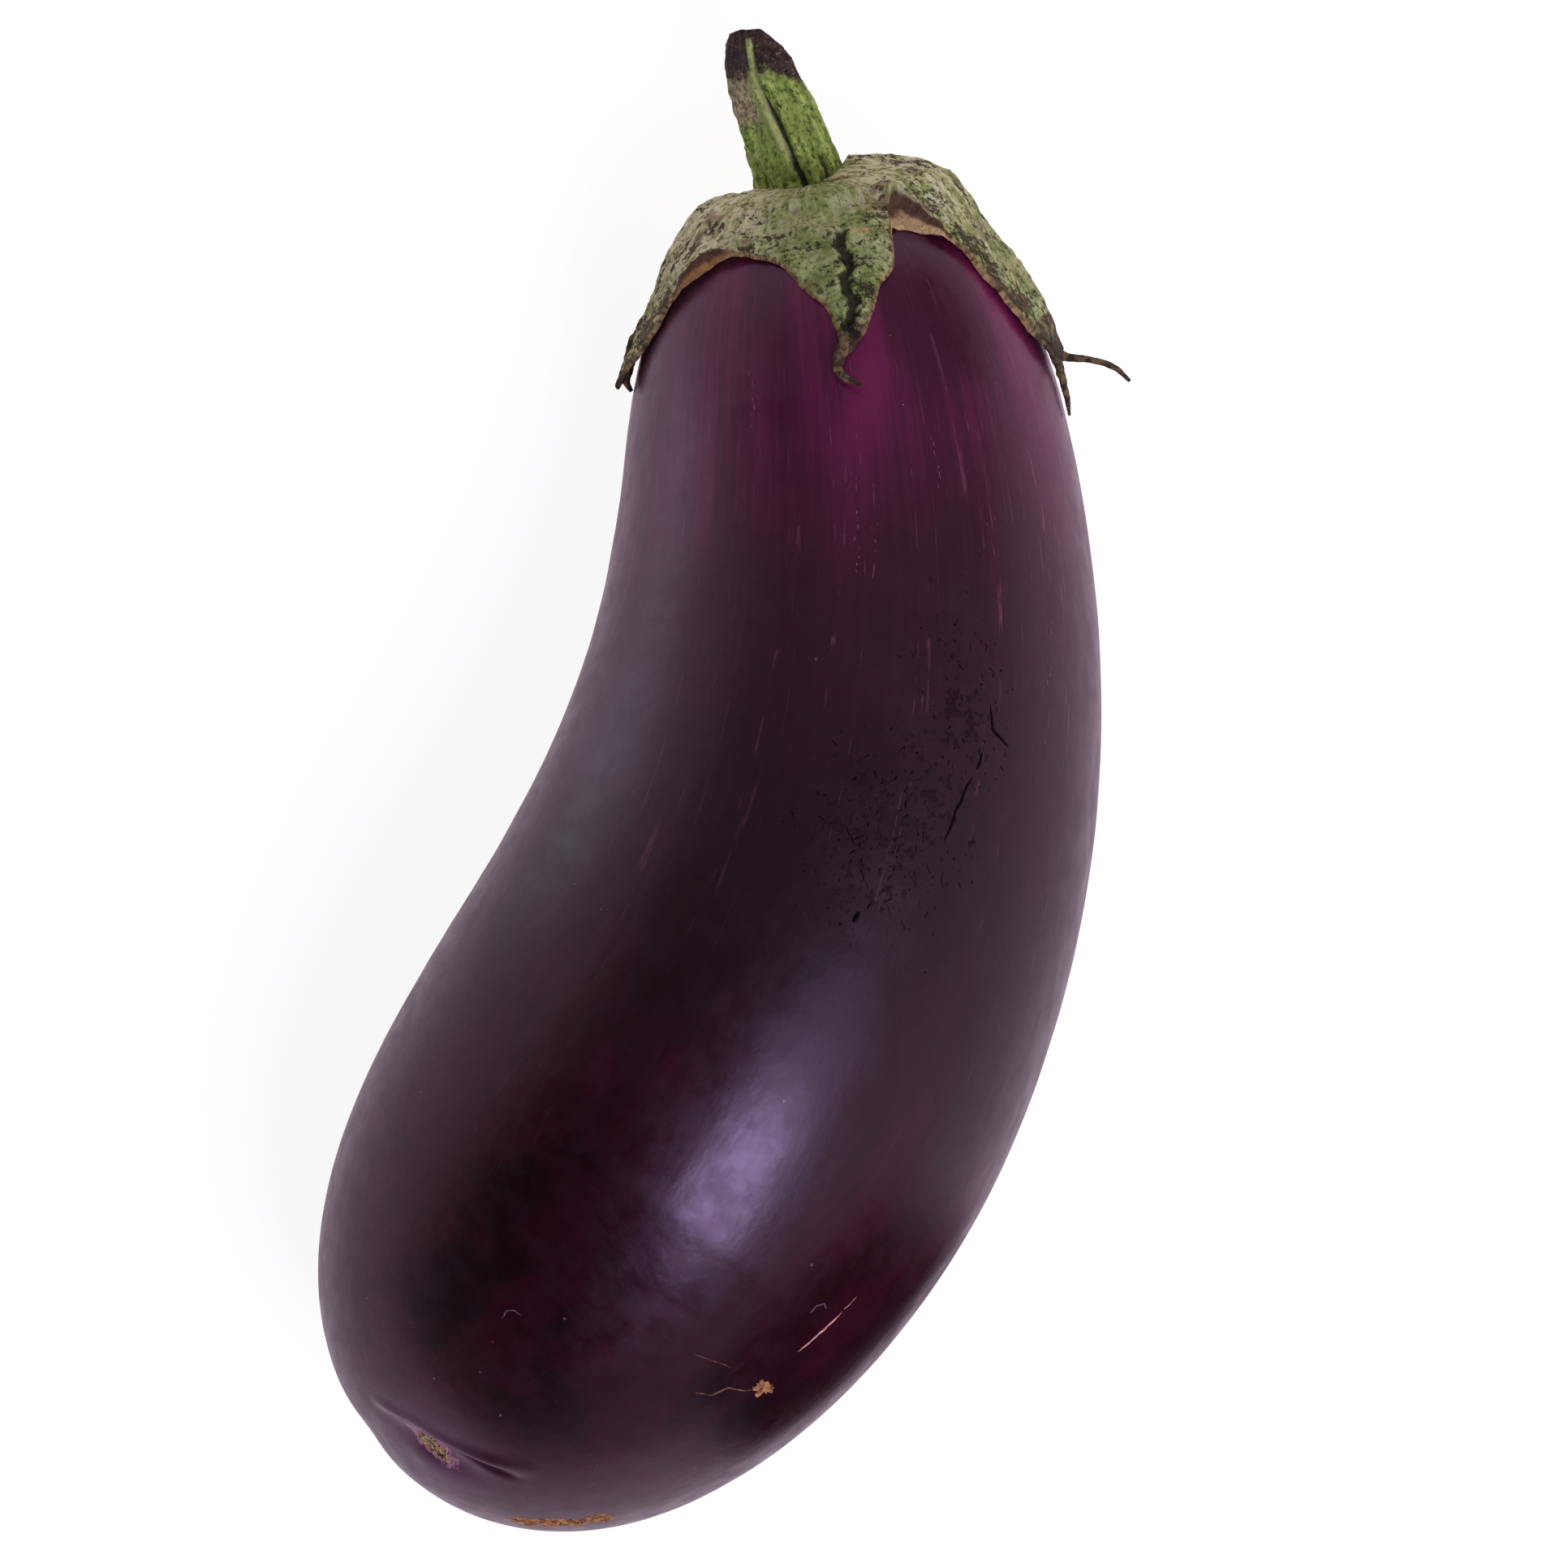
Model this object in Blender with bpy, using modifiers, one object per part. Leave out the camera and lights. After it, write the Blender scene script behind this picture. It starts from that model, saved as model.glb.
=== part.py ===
"""A whole eggplant lying on its belly: a pear-shaped fruit, its green calyx and its cut stem.

The fruit is swept along a core line that bends in plan and rises at both ends.  Distances
along that line are called reach: 0 at the middle of the neck, growing towards the blossom end.
Angles round it start at the top of the fruit and grow towards +X.  The stem points to +Y.
Every driving dimension below is in millimetres or degrees, and MM turns it into metres.
"""

import math

import bmesh
import bpy
import numpy as np
from mathutils import Vector

MM = 0.001
NAME = "eggplant"

# Core line of the fruit, seen from above: one cubic curve from the neck to the blossom end.
CORE_PLAN = ((12.0, 82.3), (22.8, 25.5), (25.3, -29.0), (-45.9, -94.7))
# Height of the core line against reach, up to the fattest part.
CORE_HEIGHT = ((0.0, 33.0), (48.0, 30.0), (90.0, 42.5), (130.0, 42.5))
TIP_RISE = 12.7
TIP_RISE_START = 146.7

# Radius of the fruit against reach: neck cap, body and blossom cap, as cubic curves.
NECK_CAP = ((-2.4, 0.0), (-2.4, 19.0), (7.0, 26.8), (30.0, 31.5))
BODY = ((30.0, 31.5), (42.0, 33.5), (104.0, 43.3), (131.0, 43.3))
BLOSSOM_CAP = ((131.0, 43.3), (167.5, 43.3), (197.4, 33.0), (197.4, 0.0))
FRUIT_SEGMENTS = 48
FRUIT_RINGS = 36

# Slit-shaped hollow round the blossom scar.
SLIT_DEPTH = 3.5
SLIT_HALF_HEIGHT = 5.5
SLIT_HALF_WIDTH = 16.0
SLIT_MIDDLE = 6.0
SLIT_REACH = 165.0

# Calyx: five pointed sepals fused round the stem.
SEPALS = 5
SEPAL_ANGLES = (5.0, 74.0, 146.0, 218.0, 292.0)
SEPAL_LENGTHS = (44.0, 48.5, 43.0, 42.0, 44.0)
SEPAL_LEANS = (-4.0, 12.0, 4.0, -4.0, -14.0)
CROTCH_LENGTH = 26.0
SEPAL_POINT = 1.8
CALYX_HOLE = 8.6
CALYX_GAP = 0.4
CALYX_THICKNESS = 1.5
CALYX_TIP_LIFT = 0.4
COLUMNS_PER_SEPAL = 14
COLUMN_CROWDING = 1.4
CALYX_ROWS = 9

# Dried tip that curls away from the sepal on the +X side.
TENDRIL_RADIUS = 0.6
TENDRIL_STEPS = ((0.0, 2.0, 0.0), (0.0, 0.3, 0.0), (4.2, -0.3, 1.0), (7.8, -1.4, 0.6), (9.7, -3.6, -1.0))
TENDRIL_SEPAL = 1

# Stem.
STEM_LENGTH = 23.1
STEM_RADIUS = 6.2
STEM_FLARE = 0.12
STEM_FLARE_LENGTH = 0.1
STEM_TIP_NARROWING = 0.5
STEM_TIP_SHARPNESS = 5.0
STEM_RIDGES = 5
STEM_RIDGE_DEPTH = 0.05
STEM_FOOT_SHIFT = 0.6
STEM_LEAN = 2.2
STEM_GAP = 0.35
STEM_SEGMENTS = 30
STEM_RINGS = 10

CURVE_SAMPLES = 400
TANGENT_STEP = 0.5
WELD = 0.0001


def clear_scene():
    for obj in list(bpy.data.objects):
        bpy.data.objects.remove(obj, do_unlink=True)


def make_collection(name):
    collection = bpy.data.collections.new(name)
    bpy.context.scene.collection.children.link(collection)
    return collection


def make_material(name, colour, roughness):
    material = bpy.data.materials.new(name)
    material.use_nodes = True
    shader = material.node_tree.nodes["Principled BSDF"]
    shader.inputs["Base Color"].default_value = (*colour, 1.0)
    shader.inputs["Roughness"].default_value = roughness
    shader.inputs["Metallic"].default_value = 0.0
    material.diffuse_color = (*colour, 1.0)
    return material


def cubic(points, count=CURVE_SAMPLES):
    """Points evenly spaced in parameter along one cubic Bezier curve."""
    p0, p1, p2, p3 = (np.array(p, dtype=float) for p in points)
    t = np.linspace(0.0, 1.0, count)[:, None]
    u = 1.0 - t
    return u**3 * p0 + 3.0 * u * u * t * p1 + 3.0 * u * t * t * p2 + t**3 * p3


def running_length(points):
    steps = np.linalg.norm(np.diff(points, axis=0), axis=1)
    return np.concatenate(([0.0], np.cumsum(steps)))


class Core:
    """The core line of the fruit, going straight on past both of its ends."""

    def __init__(self):
        self.plan = cubic(CORE_PLAN)
        self.reach = running_length(self.plan)
        self.height = cubic(CORE_HEIGHT)
        self.end = PROFILE.points[-1][0]

    def plan_axis(self, axis, reach):
        inside = np.interp(reach, self.reach, self.plan[:, axis])
        first = self.plan[1, axis] - self.plan[0, axis]
        last = self.plan[-1, axis] - self.plan[-2, axis]
        before = min(reach, 0.0) * first / (self.reach[1] - self.reach[0])
        after = max(reach - self.reach[-1], 0.0) * last / (self.reach[-1] - self.reach[-2])
        return inside + before + after

    def point(self, reach):
        height = np.interp(reach, self.height[:, 0], self.height[:, 1])
        rise = max(reach - TIP_RISE_START, 0.0) / (self.end - TIP_RISE_START)
        height += TIP_RISE * rise * rise
        return Vector((self.plan_axis(0, reach), self.plan_axis(1, reach), height))

    def frame(self, reach):
        """A point on the line, with its side, up and forward directions."""
        ahead = self.point(reach + TANGENT_STEP)
        behind = self.point(reach - TANGENT_STEP)
        forward = (ahead - behind).normalized()
        side = Vector((0.0, 0.0, 1.0)).cross(forward).normalized()
        return self.point(reach), side, forward.cross(side), forward


class Profile:
    """Outline of the fruit as reach and radius, looked up by length from the neck's pole."""

    def __init__(self):
        parts = [cubic(NECK_CAP), cubic(BODY)[1:], cubic(BLOSSOM_CAP)[1:]]
        self.points = np.concatenate(parts)
        self.length = running_length(self.points)
        self.total = self.length[-1]

    def at(self, length, offset=0.0):
        """Reach and radius at a length, moved out along the skin's normal by offset."""
        low = self.lookup(max(length - TANGENT_STEP, 0.0))
        high = self.lookup(min(length + TANGENT_STEP, self.total))
        along = (high - low) / np.linalg.norm(high - low)
        reach, radius = self.lookup(length)
        return reach - along[1] * offset, radius + along[0] * offset

    def lookup(self, length):
        reach = np.interp(length, self.length, self.points[:, 0])
        radius = np.interp(length, self.length, self.points[:, 1])
        return np.array((reach, radius))


PROFILE = Profile()
CORE = Core()


def ring_point(reach, radius, angle):
    """A point at an angle on the circle of this radius round the core line, in metres."""
    centre, side, up, _ = CORE.frame(reach)
    return (centre + side * (radius * math.sin(angle)) + up * (radius * math.cos(angle))) * MM


def slit_depth(reach, radius, angle):
    """How far the skin is drawn in at the blossom end."""
    if reach < SLIT_REACH:
        return 0.0
    across = (radius * math.sin(angle) - SLIT_MIDDLE) / SLIT_HALF_WIDTH
    above = radius * math.cos(angle) / SLIT_HALF_HEIGHT
    return SLIT_DEPTH * math.exp(-across * across - above * above)


def skin_point(length, angle, offset=0.0):
    """A point on the fruit's skin, at a length from the neck's pole."""
    reach, radius = PROFILE.at(length, offset)
    return ring_point(reach - slit_depth(reach, radius, angle), radius, angle)


def add_object(name, bm, material, collection):
    if bm.calc_volume(signed=True) < 0.0:
        bmesh.ops.reverse_faces(bm, faces=bm.faces)
    mesh = bpy.data.meshes.new(name)
    bm.to_mesh(mesh)
    bm.free()
    mesh.materials.append(material)
    mesh.shade_smooth()
    obj = bpy.data.objects.new(name, mesh)
    collection.objects.link(obj)
    return obj


def make_fruit(collection):
    """A sphere drawn out along the core line, with a flat spot where it rests."""
    bm = bmesh.new()
    bmesh.ops.create_uvsphere(bm, u_segments=FRUIT_SEGMENTS, v_segments=FRUIT_RINGS, radius=1.0)
    for vert in bm.verts:
        polar = math.acos(max(-1.0, min(1.0, vert.co.z)))
        angle = math.atan2(vert.co.x, vert.co.y)
        vert.co = skin_point(PROFILE.total * polar / math.pi, angle)
    cut_flat_spot(bm)
    return add_object("fruit", bm, make_material("skin", (0.030, 0.010, 0.020), 0.25), collection)


def cut_flat_spot(bm):
    everything = bm.verts[:] + bm.edges[:] + bm.faces[:]
    cut = bmesh.ops.bisect_plane(bm, geom=everything, plane_co=(0.0, 0.0, 0.0), plane_no=(0.0, 0.0, -1.0),
                                 clear_outer=True)
    rim = [item for item in cut["geom_cut"] if isinstance(item, bmesh.types.BMEdge)]
    bmesh.ops.holes_fill(bm, edges=rim)


def sepal_column(turn):
    """Angle, edge length and lean at a turn round the calyx, counted in sepals."""
    nearest = round(turn)
    crowded = (2.0 * abs(turn - nearest)) ** COLUMN_CROWDING
    neighbour = nearest + (1 if turn > nearest else -1)
    centre = SEPAL_ANGLES[nearest % SEPALS]
    gap = (SEPAL_ANGLES[neighbour % SEPALS] - centre + 180.0) % 360.0 - 180.0
    point = (1.0 - crowded) ** SEPAL_POINT
    edge = CROTCH_LENGTH + (SEPAL_LENGTHS[nearest % SEPALS] - CROTCH_LENGTH) * point
    return centre + gap * crowded / 2.0, edge, SEPAL_LEANS[nearest % SEPALS] * point


def calyx_point(part, turn, offset=0.0):
    """A point over the calyx's inner face: part goes from 0 at the stem to 1 at the edge."""
    angle, edge, lean = sepal_column(turn)
    length = CALYX_HOLE + (edge - CALYX_HOLE) * part
    height = CALYX_GAP + CALYX_TIP_LIFT * part**4 + offset
    return skin_point(length, math.radians(angle + lean * part * part), height)


def make_calyx(collection, cutters):
    bm = bmesh.new()
    columns = COLUMNS_PER_SEPAL * SEPALS
    bmesh.ops.create_grid(bm, x_segments=columns, y_segments=CALYX_ROWS, size=0.5)
    for vert in bm.verts:
        vert.co = calyx_point(vert.co.y + 0.5, SEPALS * (vert.co.x + 0.5))
    bmesh.ops.remove_doubles(bm, verts=bm.verts, dist=WELD * MM)
    calyx = add_object("calyx", bm, make_material("sepals", (0.18, 0.19, 0.09), 0.8), collection)
    shell = calyx.modifiers.new("thickness", "SOLIDIFY")
    shell.thickness = CALYX_THICKNESS * MM
    shell.offset = outward_offset(calyx)
    join = calyx.modifiers.new("tendril", "BOOLEAN")
    join.operation = "UNION"
    join.solver = "EXACT"
    join.object = make_tendril(cutters)
    return calyx


def outward_offset(calyx):
    """Solidify grows along the normals, so the sign says which side of the sheet is outside."""
    face = calyx.data.polygons[0]
    middle = Vector(CORE.point(0.0)) * MM
    return 1.0 if face.normal.dot(face.center - middle) > 0.0 else -1.0


def make_tendril(cutters):
    """A thin closed tube that starts inside the tip of the sepal on the +X side."""
    start = calyx_point(1.0, TENDRIL_SEPAL, CALYX_THICKNESS / 2.0)
    curve = bpy.data.curves.new("tendril_path", "CURVE")
    curve.dimensions = "3D"
    curve.bevel_depth = TENDRIL_RADIUS * MM
    curve.bevel_resolution = 1
    curve.use_fill_caps = True
    spline = curve.splines.new("POLY")
    spline.points.add(len(TENDRIL_STEPS) - 1)
    for point, step in zip(spline.points, TENDRIL_STEPS):
        point.co = (*(start + Vector(step) * MM), 1.0)
    guide = bpy.data.objects.new("tendril_path", curve)
    cutters.objects.link(guide)
    tube = bpy.data.objects.new("tendril", mesh_of(guide))
    cutters.objects.link(tube)
    bpy.data.objects.remove(guide, do_unlink=True)
    tube.hide_render = True
    tube.display_type = "WIRE"
    return tube


def mesh_of(guide):
    """The guide's tube as one closed mesh, with its caps welded on."""
    depsgraph = bpy.context.evaluated_depsgraph_get()
    mesh = bpy.data.meshes.new_from_object(guide.evaluated_get(depsgraph))
    bm = bmesh.new()
    bm.from_mesh(mesh)
    bmesh.ops.remove_doubles(bm, verts=bm.verts, dist=WELD * MM)
    bmesh.ops.recalc_face_normals(bm, faces=bm.faces)
    bm.to_mesh(mesh)
    bm.free()
    return mesh


def stem_radius(part, angle):
    """Flared at the foot, ridged along its length, narrowing to its dried end."""
    flare = 1.0 + STEM_FLARE * math.exp(-part / STEM_FLARE_LENGTH)
    tip = 1.0 - STEM_TIP_NARROWING * part**STEM_TIP_SHARPNESS
    ridge = 1.0 + STEM_RIDGE_DEPTH * math.cos(STEM_RIDGES * angle)
    return STEM_RADIUS * flare * tip * ridge


def make_stem(collection):
    bm = bmesh.new()
    bmesh.ops.create_cone(bm, cap_ends=True, segments=STEM_SEGMENTS, radius1=1.0, radius2=1.0, depth=1.0)
    sides = [edge for edge in bm.edges if abs(edge.verts[0].co.z - edge.verts[1].co.z) > 0.5]
    bmesh.ops.subdivide_edges(bm, edges=sides, cuts=STEM_RINGS - 1)
    foot = NECK_CAP[0][0] - STEM_GAP
    for vert in bm.verts:
        part = vert.co.z + 0.5
        angle = math.atan2(vert.co.x, vert.co.y)
        _, side, _, _ = CORE.frame(foot)
        lean = side * (-(STEM_FOOT_SHIFT + STEM_LEAN * part) * MM)
        vert.co = ring_point(foot - STEM_LENGTH * part, stem_radius(part, angle), angle) + lean
    return add_object("stem", bm, make_material("stalk", (0.15, 0.21, 0.08), 0.7), collection)


def main():
    clear_scene()
    parts = make_collection(NAME)
    cutters = make_collection(NAME + "_cutters")
    make_fruit(parts)
    make_calyx(parts, cutters)
    make_stem(parts)


main()
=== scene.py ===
"""Looks of the eggplant: skin, calyx and stem as fine meshes with procedural materials.

Lengths are millimetres until place() turns them into metres; only the floor, the lights and
the cards are given in metres.  The skin, the calyx and the marks are laid out on the fruit's
own coordinates: reach is the distance along the core line from the neck to the blossom end,
length is the distance over the skin from the neck's pole, and angle goes round the core line
from the top of the fruit towards +X.
"""

import math

import bpy
import numpy as np
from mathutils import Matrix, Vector


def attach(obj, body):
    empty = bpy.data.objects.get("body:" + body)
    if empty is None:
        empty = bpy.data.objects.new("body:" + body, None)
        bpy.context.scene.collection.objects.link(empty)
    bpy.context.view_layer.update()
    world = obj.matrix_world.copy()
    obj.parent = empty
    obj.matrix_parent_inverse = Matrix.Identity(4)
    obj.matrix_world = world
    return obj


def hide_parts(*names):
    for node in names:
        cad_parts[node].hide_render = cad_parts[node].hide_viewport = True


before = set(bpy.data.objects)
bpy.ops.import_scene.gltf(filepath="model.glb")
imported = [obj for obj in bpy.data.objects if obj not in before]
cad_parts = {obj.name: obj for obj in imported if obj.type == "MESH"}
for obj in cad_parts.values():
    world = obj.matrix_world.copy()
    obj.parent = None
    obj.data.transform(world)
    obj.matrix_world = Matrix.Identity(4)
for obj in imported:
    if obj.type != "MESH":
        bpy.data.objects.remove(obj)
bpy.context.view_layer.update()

MM = 0.001
BODY_NAME = "root"

# The fruit's core line and outline, as in the CAD model.
CORE_PLAN = ((12.0, 82.3), (22.8, 25.5), (25.3, -29.0), (-45.9, -94.7))
CORE_HEIGHT = ((0.0, 33.0), (48.0, 30.0), (90.0, 42.5), (130.0, 42.5))
TIP_RISE = 12.7
TIP_RISE_START = 146.7
NECK_CAP = ((-2.4, 0.0), (-2.4, 19.0), (7.0, 26.8), (30.0, 31.5))
BODY = ((30.0, 31.5), (42.0, 33.5), (104.0, 43.3), (131.0, 43.3))
BLOSSOM_CAP = ((131.0, 43.3), (167.5, 43.3), (197.4, 33.0), (197.4, 0.0))
CURVE_SAMPLES = 600
TANGENT_STEP = 0.5


# ---------------------------------------------------------------- curves and noise


def cubic(points):
    p0, p1, p2, p3 = (np.array(p, dtype=float) for p in points)
    t = np.linspace(0.0, 1.0, CURVE_SAMPLES)[:, None]
    u = 1.0 - t
    return u**3 * p0 + 3.0 * u * u * t * p1 + 3.0 * u * t * t * p2 + t**3 * p3


def running_length(points):
    steps = np.linalg.norm(np.diff(points, axis=0), axis=1)
    return np.concatenate(([0.0], np.cumsum(steps)))


def points_on(line, walked, distance):
    """Points at these distances along a line."""
    return np.stack([np.interp(distance, walked, values) for values in line.T], axis=-1)


def cylinder(radius, angle, length):
    """Places across, above and along a straight line."""
    parts = (radius * np.sin(angle), radius * np.cos(angle), length)
    return np.stack(np.broadcast_arrays(*parts), axis=-1)


def around(centre, side, up, radius, angle):
    """Points at a radius and an angle round a bent line."""
    return centre + side * (radius * np.sin(angle))[..., None] + up * (radius * np.cos(angle))[..., None]


def unit(vectors):
    return vectors / np.maximum(np.linalg.norm(vectors, axis=-1, keepdims=True), 1e-12)


def smooth(low, high, value):
    """0 below low, 1 above high, and an even curve between."""
    t = np.clip((value - low) / (high - low), 0.0, 1.0)
    return t * t * (3.0 - 2.0 * t)


def bump(value, middle, width):
    return np.exp(-(((value - middle) / width) ** 2))


def lattice(x, y, z, seed):
    """A repeatable value from -1 to 1 at each whole-number point."""
    mixed = (x * 374761393 + y * 668265263 + z * 1440662683 + seed * 1013904223) & 0xFFFFFFFF
    mixed = ((mixed ^ (mixed >> 13)) * 1274126177) & 0xFFFFFFFF
    return ((mixed ^ (mixed >> 16)) & 0xFFFF) / 32767.5 - 1.0


def value_noise(points, seed):
    """Smooth noise from -1 to 1 with features about one unit apart."""
    base = np.floor(points).astype(np.int64)
    part = points - base
    part = part * part * (3.0 - 2.0 * part)
    total = 0.0
    for corner in range(8):
        step = np.array([corner & 1, (corner >> 1) & 1, (corner >> 2) & 1])
        weight = np.prod(np.where(step == 1, part, 1.0 - part), axis=-1)
        place = base + step
        total = total + weight * lattice(place[..., 0], place[..., 1], place[..., 2], seed)
    return total


def fractal(points, size, octaves, seed):
    """Noise with features of this size and finer ones on top, from about -1 to 1."""
    total = 0.0
    strength = 1.0
    weight = 0.0
    scaled = points / size
    for octave in range(octaves):
        total = total + strength * value_noise(scaled, seed + octave)
        weight += strength
        strength *= 0.5
        scaled = scaled * 2.03 + 7.3
    return total / weight


# ---------------------------------------------------------------- the fruit's coordinates


class Core:
    """The bent core line, going straight on past both of its ends."""

    def __init__(self, end):
        self.plan = cubic(CORE_PLAN)
        self.reach = running_length(self.plan)
        self.height = cubic(CORE_HEIGHT)
        self.end = end

    def points(self, reach):
        axes = []
        for axis in (0, 1):
            line = self.plan[:, axis]
            first = (line[1] - line[0]) / self.reach[1]
            last = (line[-1] - line[-2]) / (self.reach[-1] - self.reach[-2])
            inside = np.interp(reach, self.reach, line)
            before = np.minimum(reach, 0.0) * first
            after = np.maximum(reach - self.reach[-1], 0.0) * last
            axes.append(inside + before + after)
        rise = np.maximum(reach - TIP_RISE_START, 0.0) / (self.end - TIP_RISE_START)
        axes.append(np.interp(reach, self.height[:, 0], self.height[:, 1]) + TIP_RISE * rise * rise)
        return np.stack(axes, axis=-1)

    def frames(self, reach):
        """Points on the core line with the directions to the side and up."""
        forward = unit(self.points(reach + TANGENT_STEP) - self.points(reach - TANGENT_STEP))
        side = unit(np.cross(np.array([0.0, 0.0, 1.0]), forward))
        return self.points(reach), side, np.cross(forward, side)


PROFILE = np.concatenate([cubic(NECK_CAP), cubic(BODY)[1:], cubic(BLOSSOM_CAP)[1:]])
PROFILE_LENGTH = running_length(PROFILE)
TOTAL = PROFILE_LENGTH[-1]
CORE = Core(PROFILE[-1, 0])


def outline_at(length, offset=0.0):
    """Reach and radius at a length over the skin, moved out along its normal."""
    low = points_on(PROFILE, PROFILE_LENGTH, np.maximum(length - TANGENT_STEP, 0.0))
    high = points_on(PROFILE, PROFILE_LENGTH, np.minimum(length + TANGENT_STEP, TOTAL))
    along = unit(high - low)
    here = points_on(PROFILE, PROFILE_LENGTH, length)
    return here[..., 0] - along[..., 1] * offset, here[..., 1] + along[..., 0] * offset


def around_core(reach, radius, angle):
    return around(*CORE.frames(reach), radius, angle)


def over_skin(length, angle, offset):
    """Points at a height over the plain swept skin."""
    reach, radius = outline_at(length, offset)
    return around_core(reach, radius, angle)


def unbent(length, angle):
    """The same place on a straight fruit, for patterns that run along it without a seam."""
    return cylinder(outline_at(length)[1], angle, length)


# ---------------------------------------------------------------- meshes


def place(name, points, faces, material):
    """A mesh object from points in millimetres."""
    mesh = bpy.data.meshes.new(name)
    mesh.from_pydata((points * MM).tolist(), [], faces)
    mesh.materials.append(material)
    mesh.shade_smooth()
    mesh.validate()
    obj = bpy.data.objects.new(name, mesh)
    bpy.context.scene.collection.objects.link(obj)
    return obj


def grid_faces(rows, columns, closed_rows=False):
    """Quads of a grid whose columns close on themselves, and whose rows may too."""
    faces = []
    last_row = rows if closed_rows else rows - 1
    for row in range(last_row):
        low = row * columns
        high = ((row + 1) % rows) * columns
        for column in range(columns):
            after = (column + 1) % columns
            faces.append((low + column, low + after, high + after, high + column))
    return faces


def fan_faces(pole, ring_start, columns, flip):
    """Triangles from a pole to a ring of points."""
    faces = []
    for column in range(columns):
        after = (column + 1) % columns
        pair = (ring_start + column, ring_start + after)
        faces.append((pole, pair[1], pair[0]) if flip else (pole, pair[0], pair[1]))
    return faces


def capped_tube(rings):
    """Points and faces of rings (rows, columns, 3) closed by a point at the middle of each end."""
    rows, columns, _ = rings.shape
    points = np.concatenate([rings.reshape(-1, 3), rings[0].mean(0)[None], rings[-1].mean(0)[None]])
    faces = grid_faces(rows, columns)
    faces += fan_faces(rows * columns, 0, columns, True)
    faces += fan_faces(rows * columns + 1, (rows - 1) * columns, columns, False)
    return points, faces


def add_values(obj, name, values):
    """A number, or a vector, on each point of the mesh, for the material to read."""
    values = np.asarray(values, dtype=np.float32)
    if values.ndim == 1:
        layer = obj.data.attributes.new(name, "FLOAT", "POINT")
        layer.data.foreach_set("value", values)
    else:
        layer = obj.data.attributes.new(name, "FLOAT_VECTOR", "POINT")
        layer.data.foreach_set("vector", values.ravel())


def face_out(obj):
    """Turns the faces to point outwards if the closed mesh is inside out."""
    mesh = obj.data
    mesh.calc_loop_triangles()
    corners = np.zeros(len(mesh.loop_triangles) * 3, np.int32)
    mesh.loop_triangles.foreach_get("vertices", corners)
    spots = np.zeros(len(mesh.vertices) * 3, np.float32)
    mesh.vertices.foreach_get("co", spots)
    tri = spots.reshape(-1, 3).astype(float)[corners.reshape(-1, 3)]
    if np.einsum("ij,ij->i", tri[:, 0], np.cross(tri[:, 1], tri[:, 2])).sum() < 0.0:
        mesh.flip_normals()


def finish_piece(obj, node):
    face_out(obj)
    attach(obj, BODY_NAME)
    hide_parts(node)


# ---------------------------------------------------------------- material helper


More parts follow.
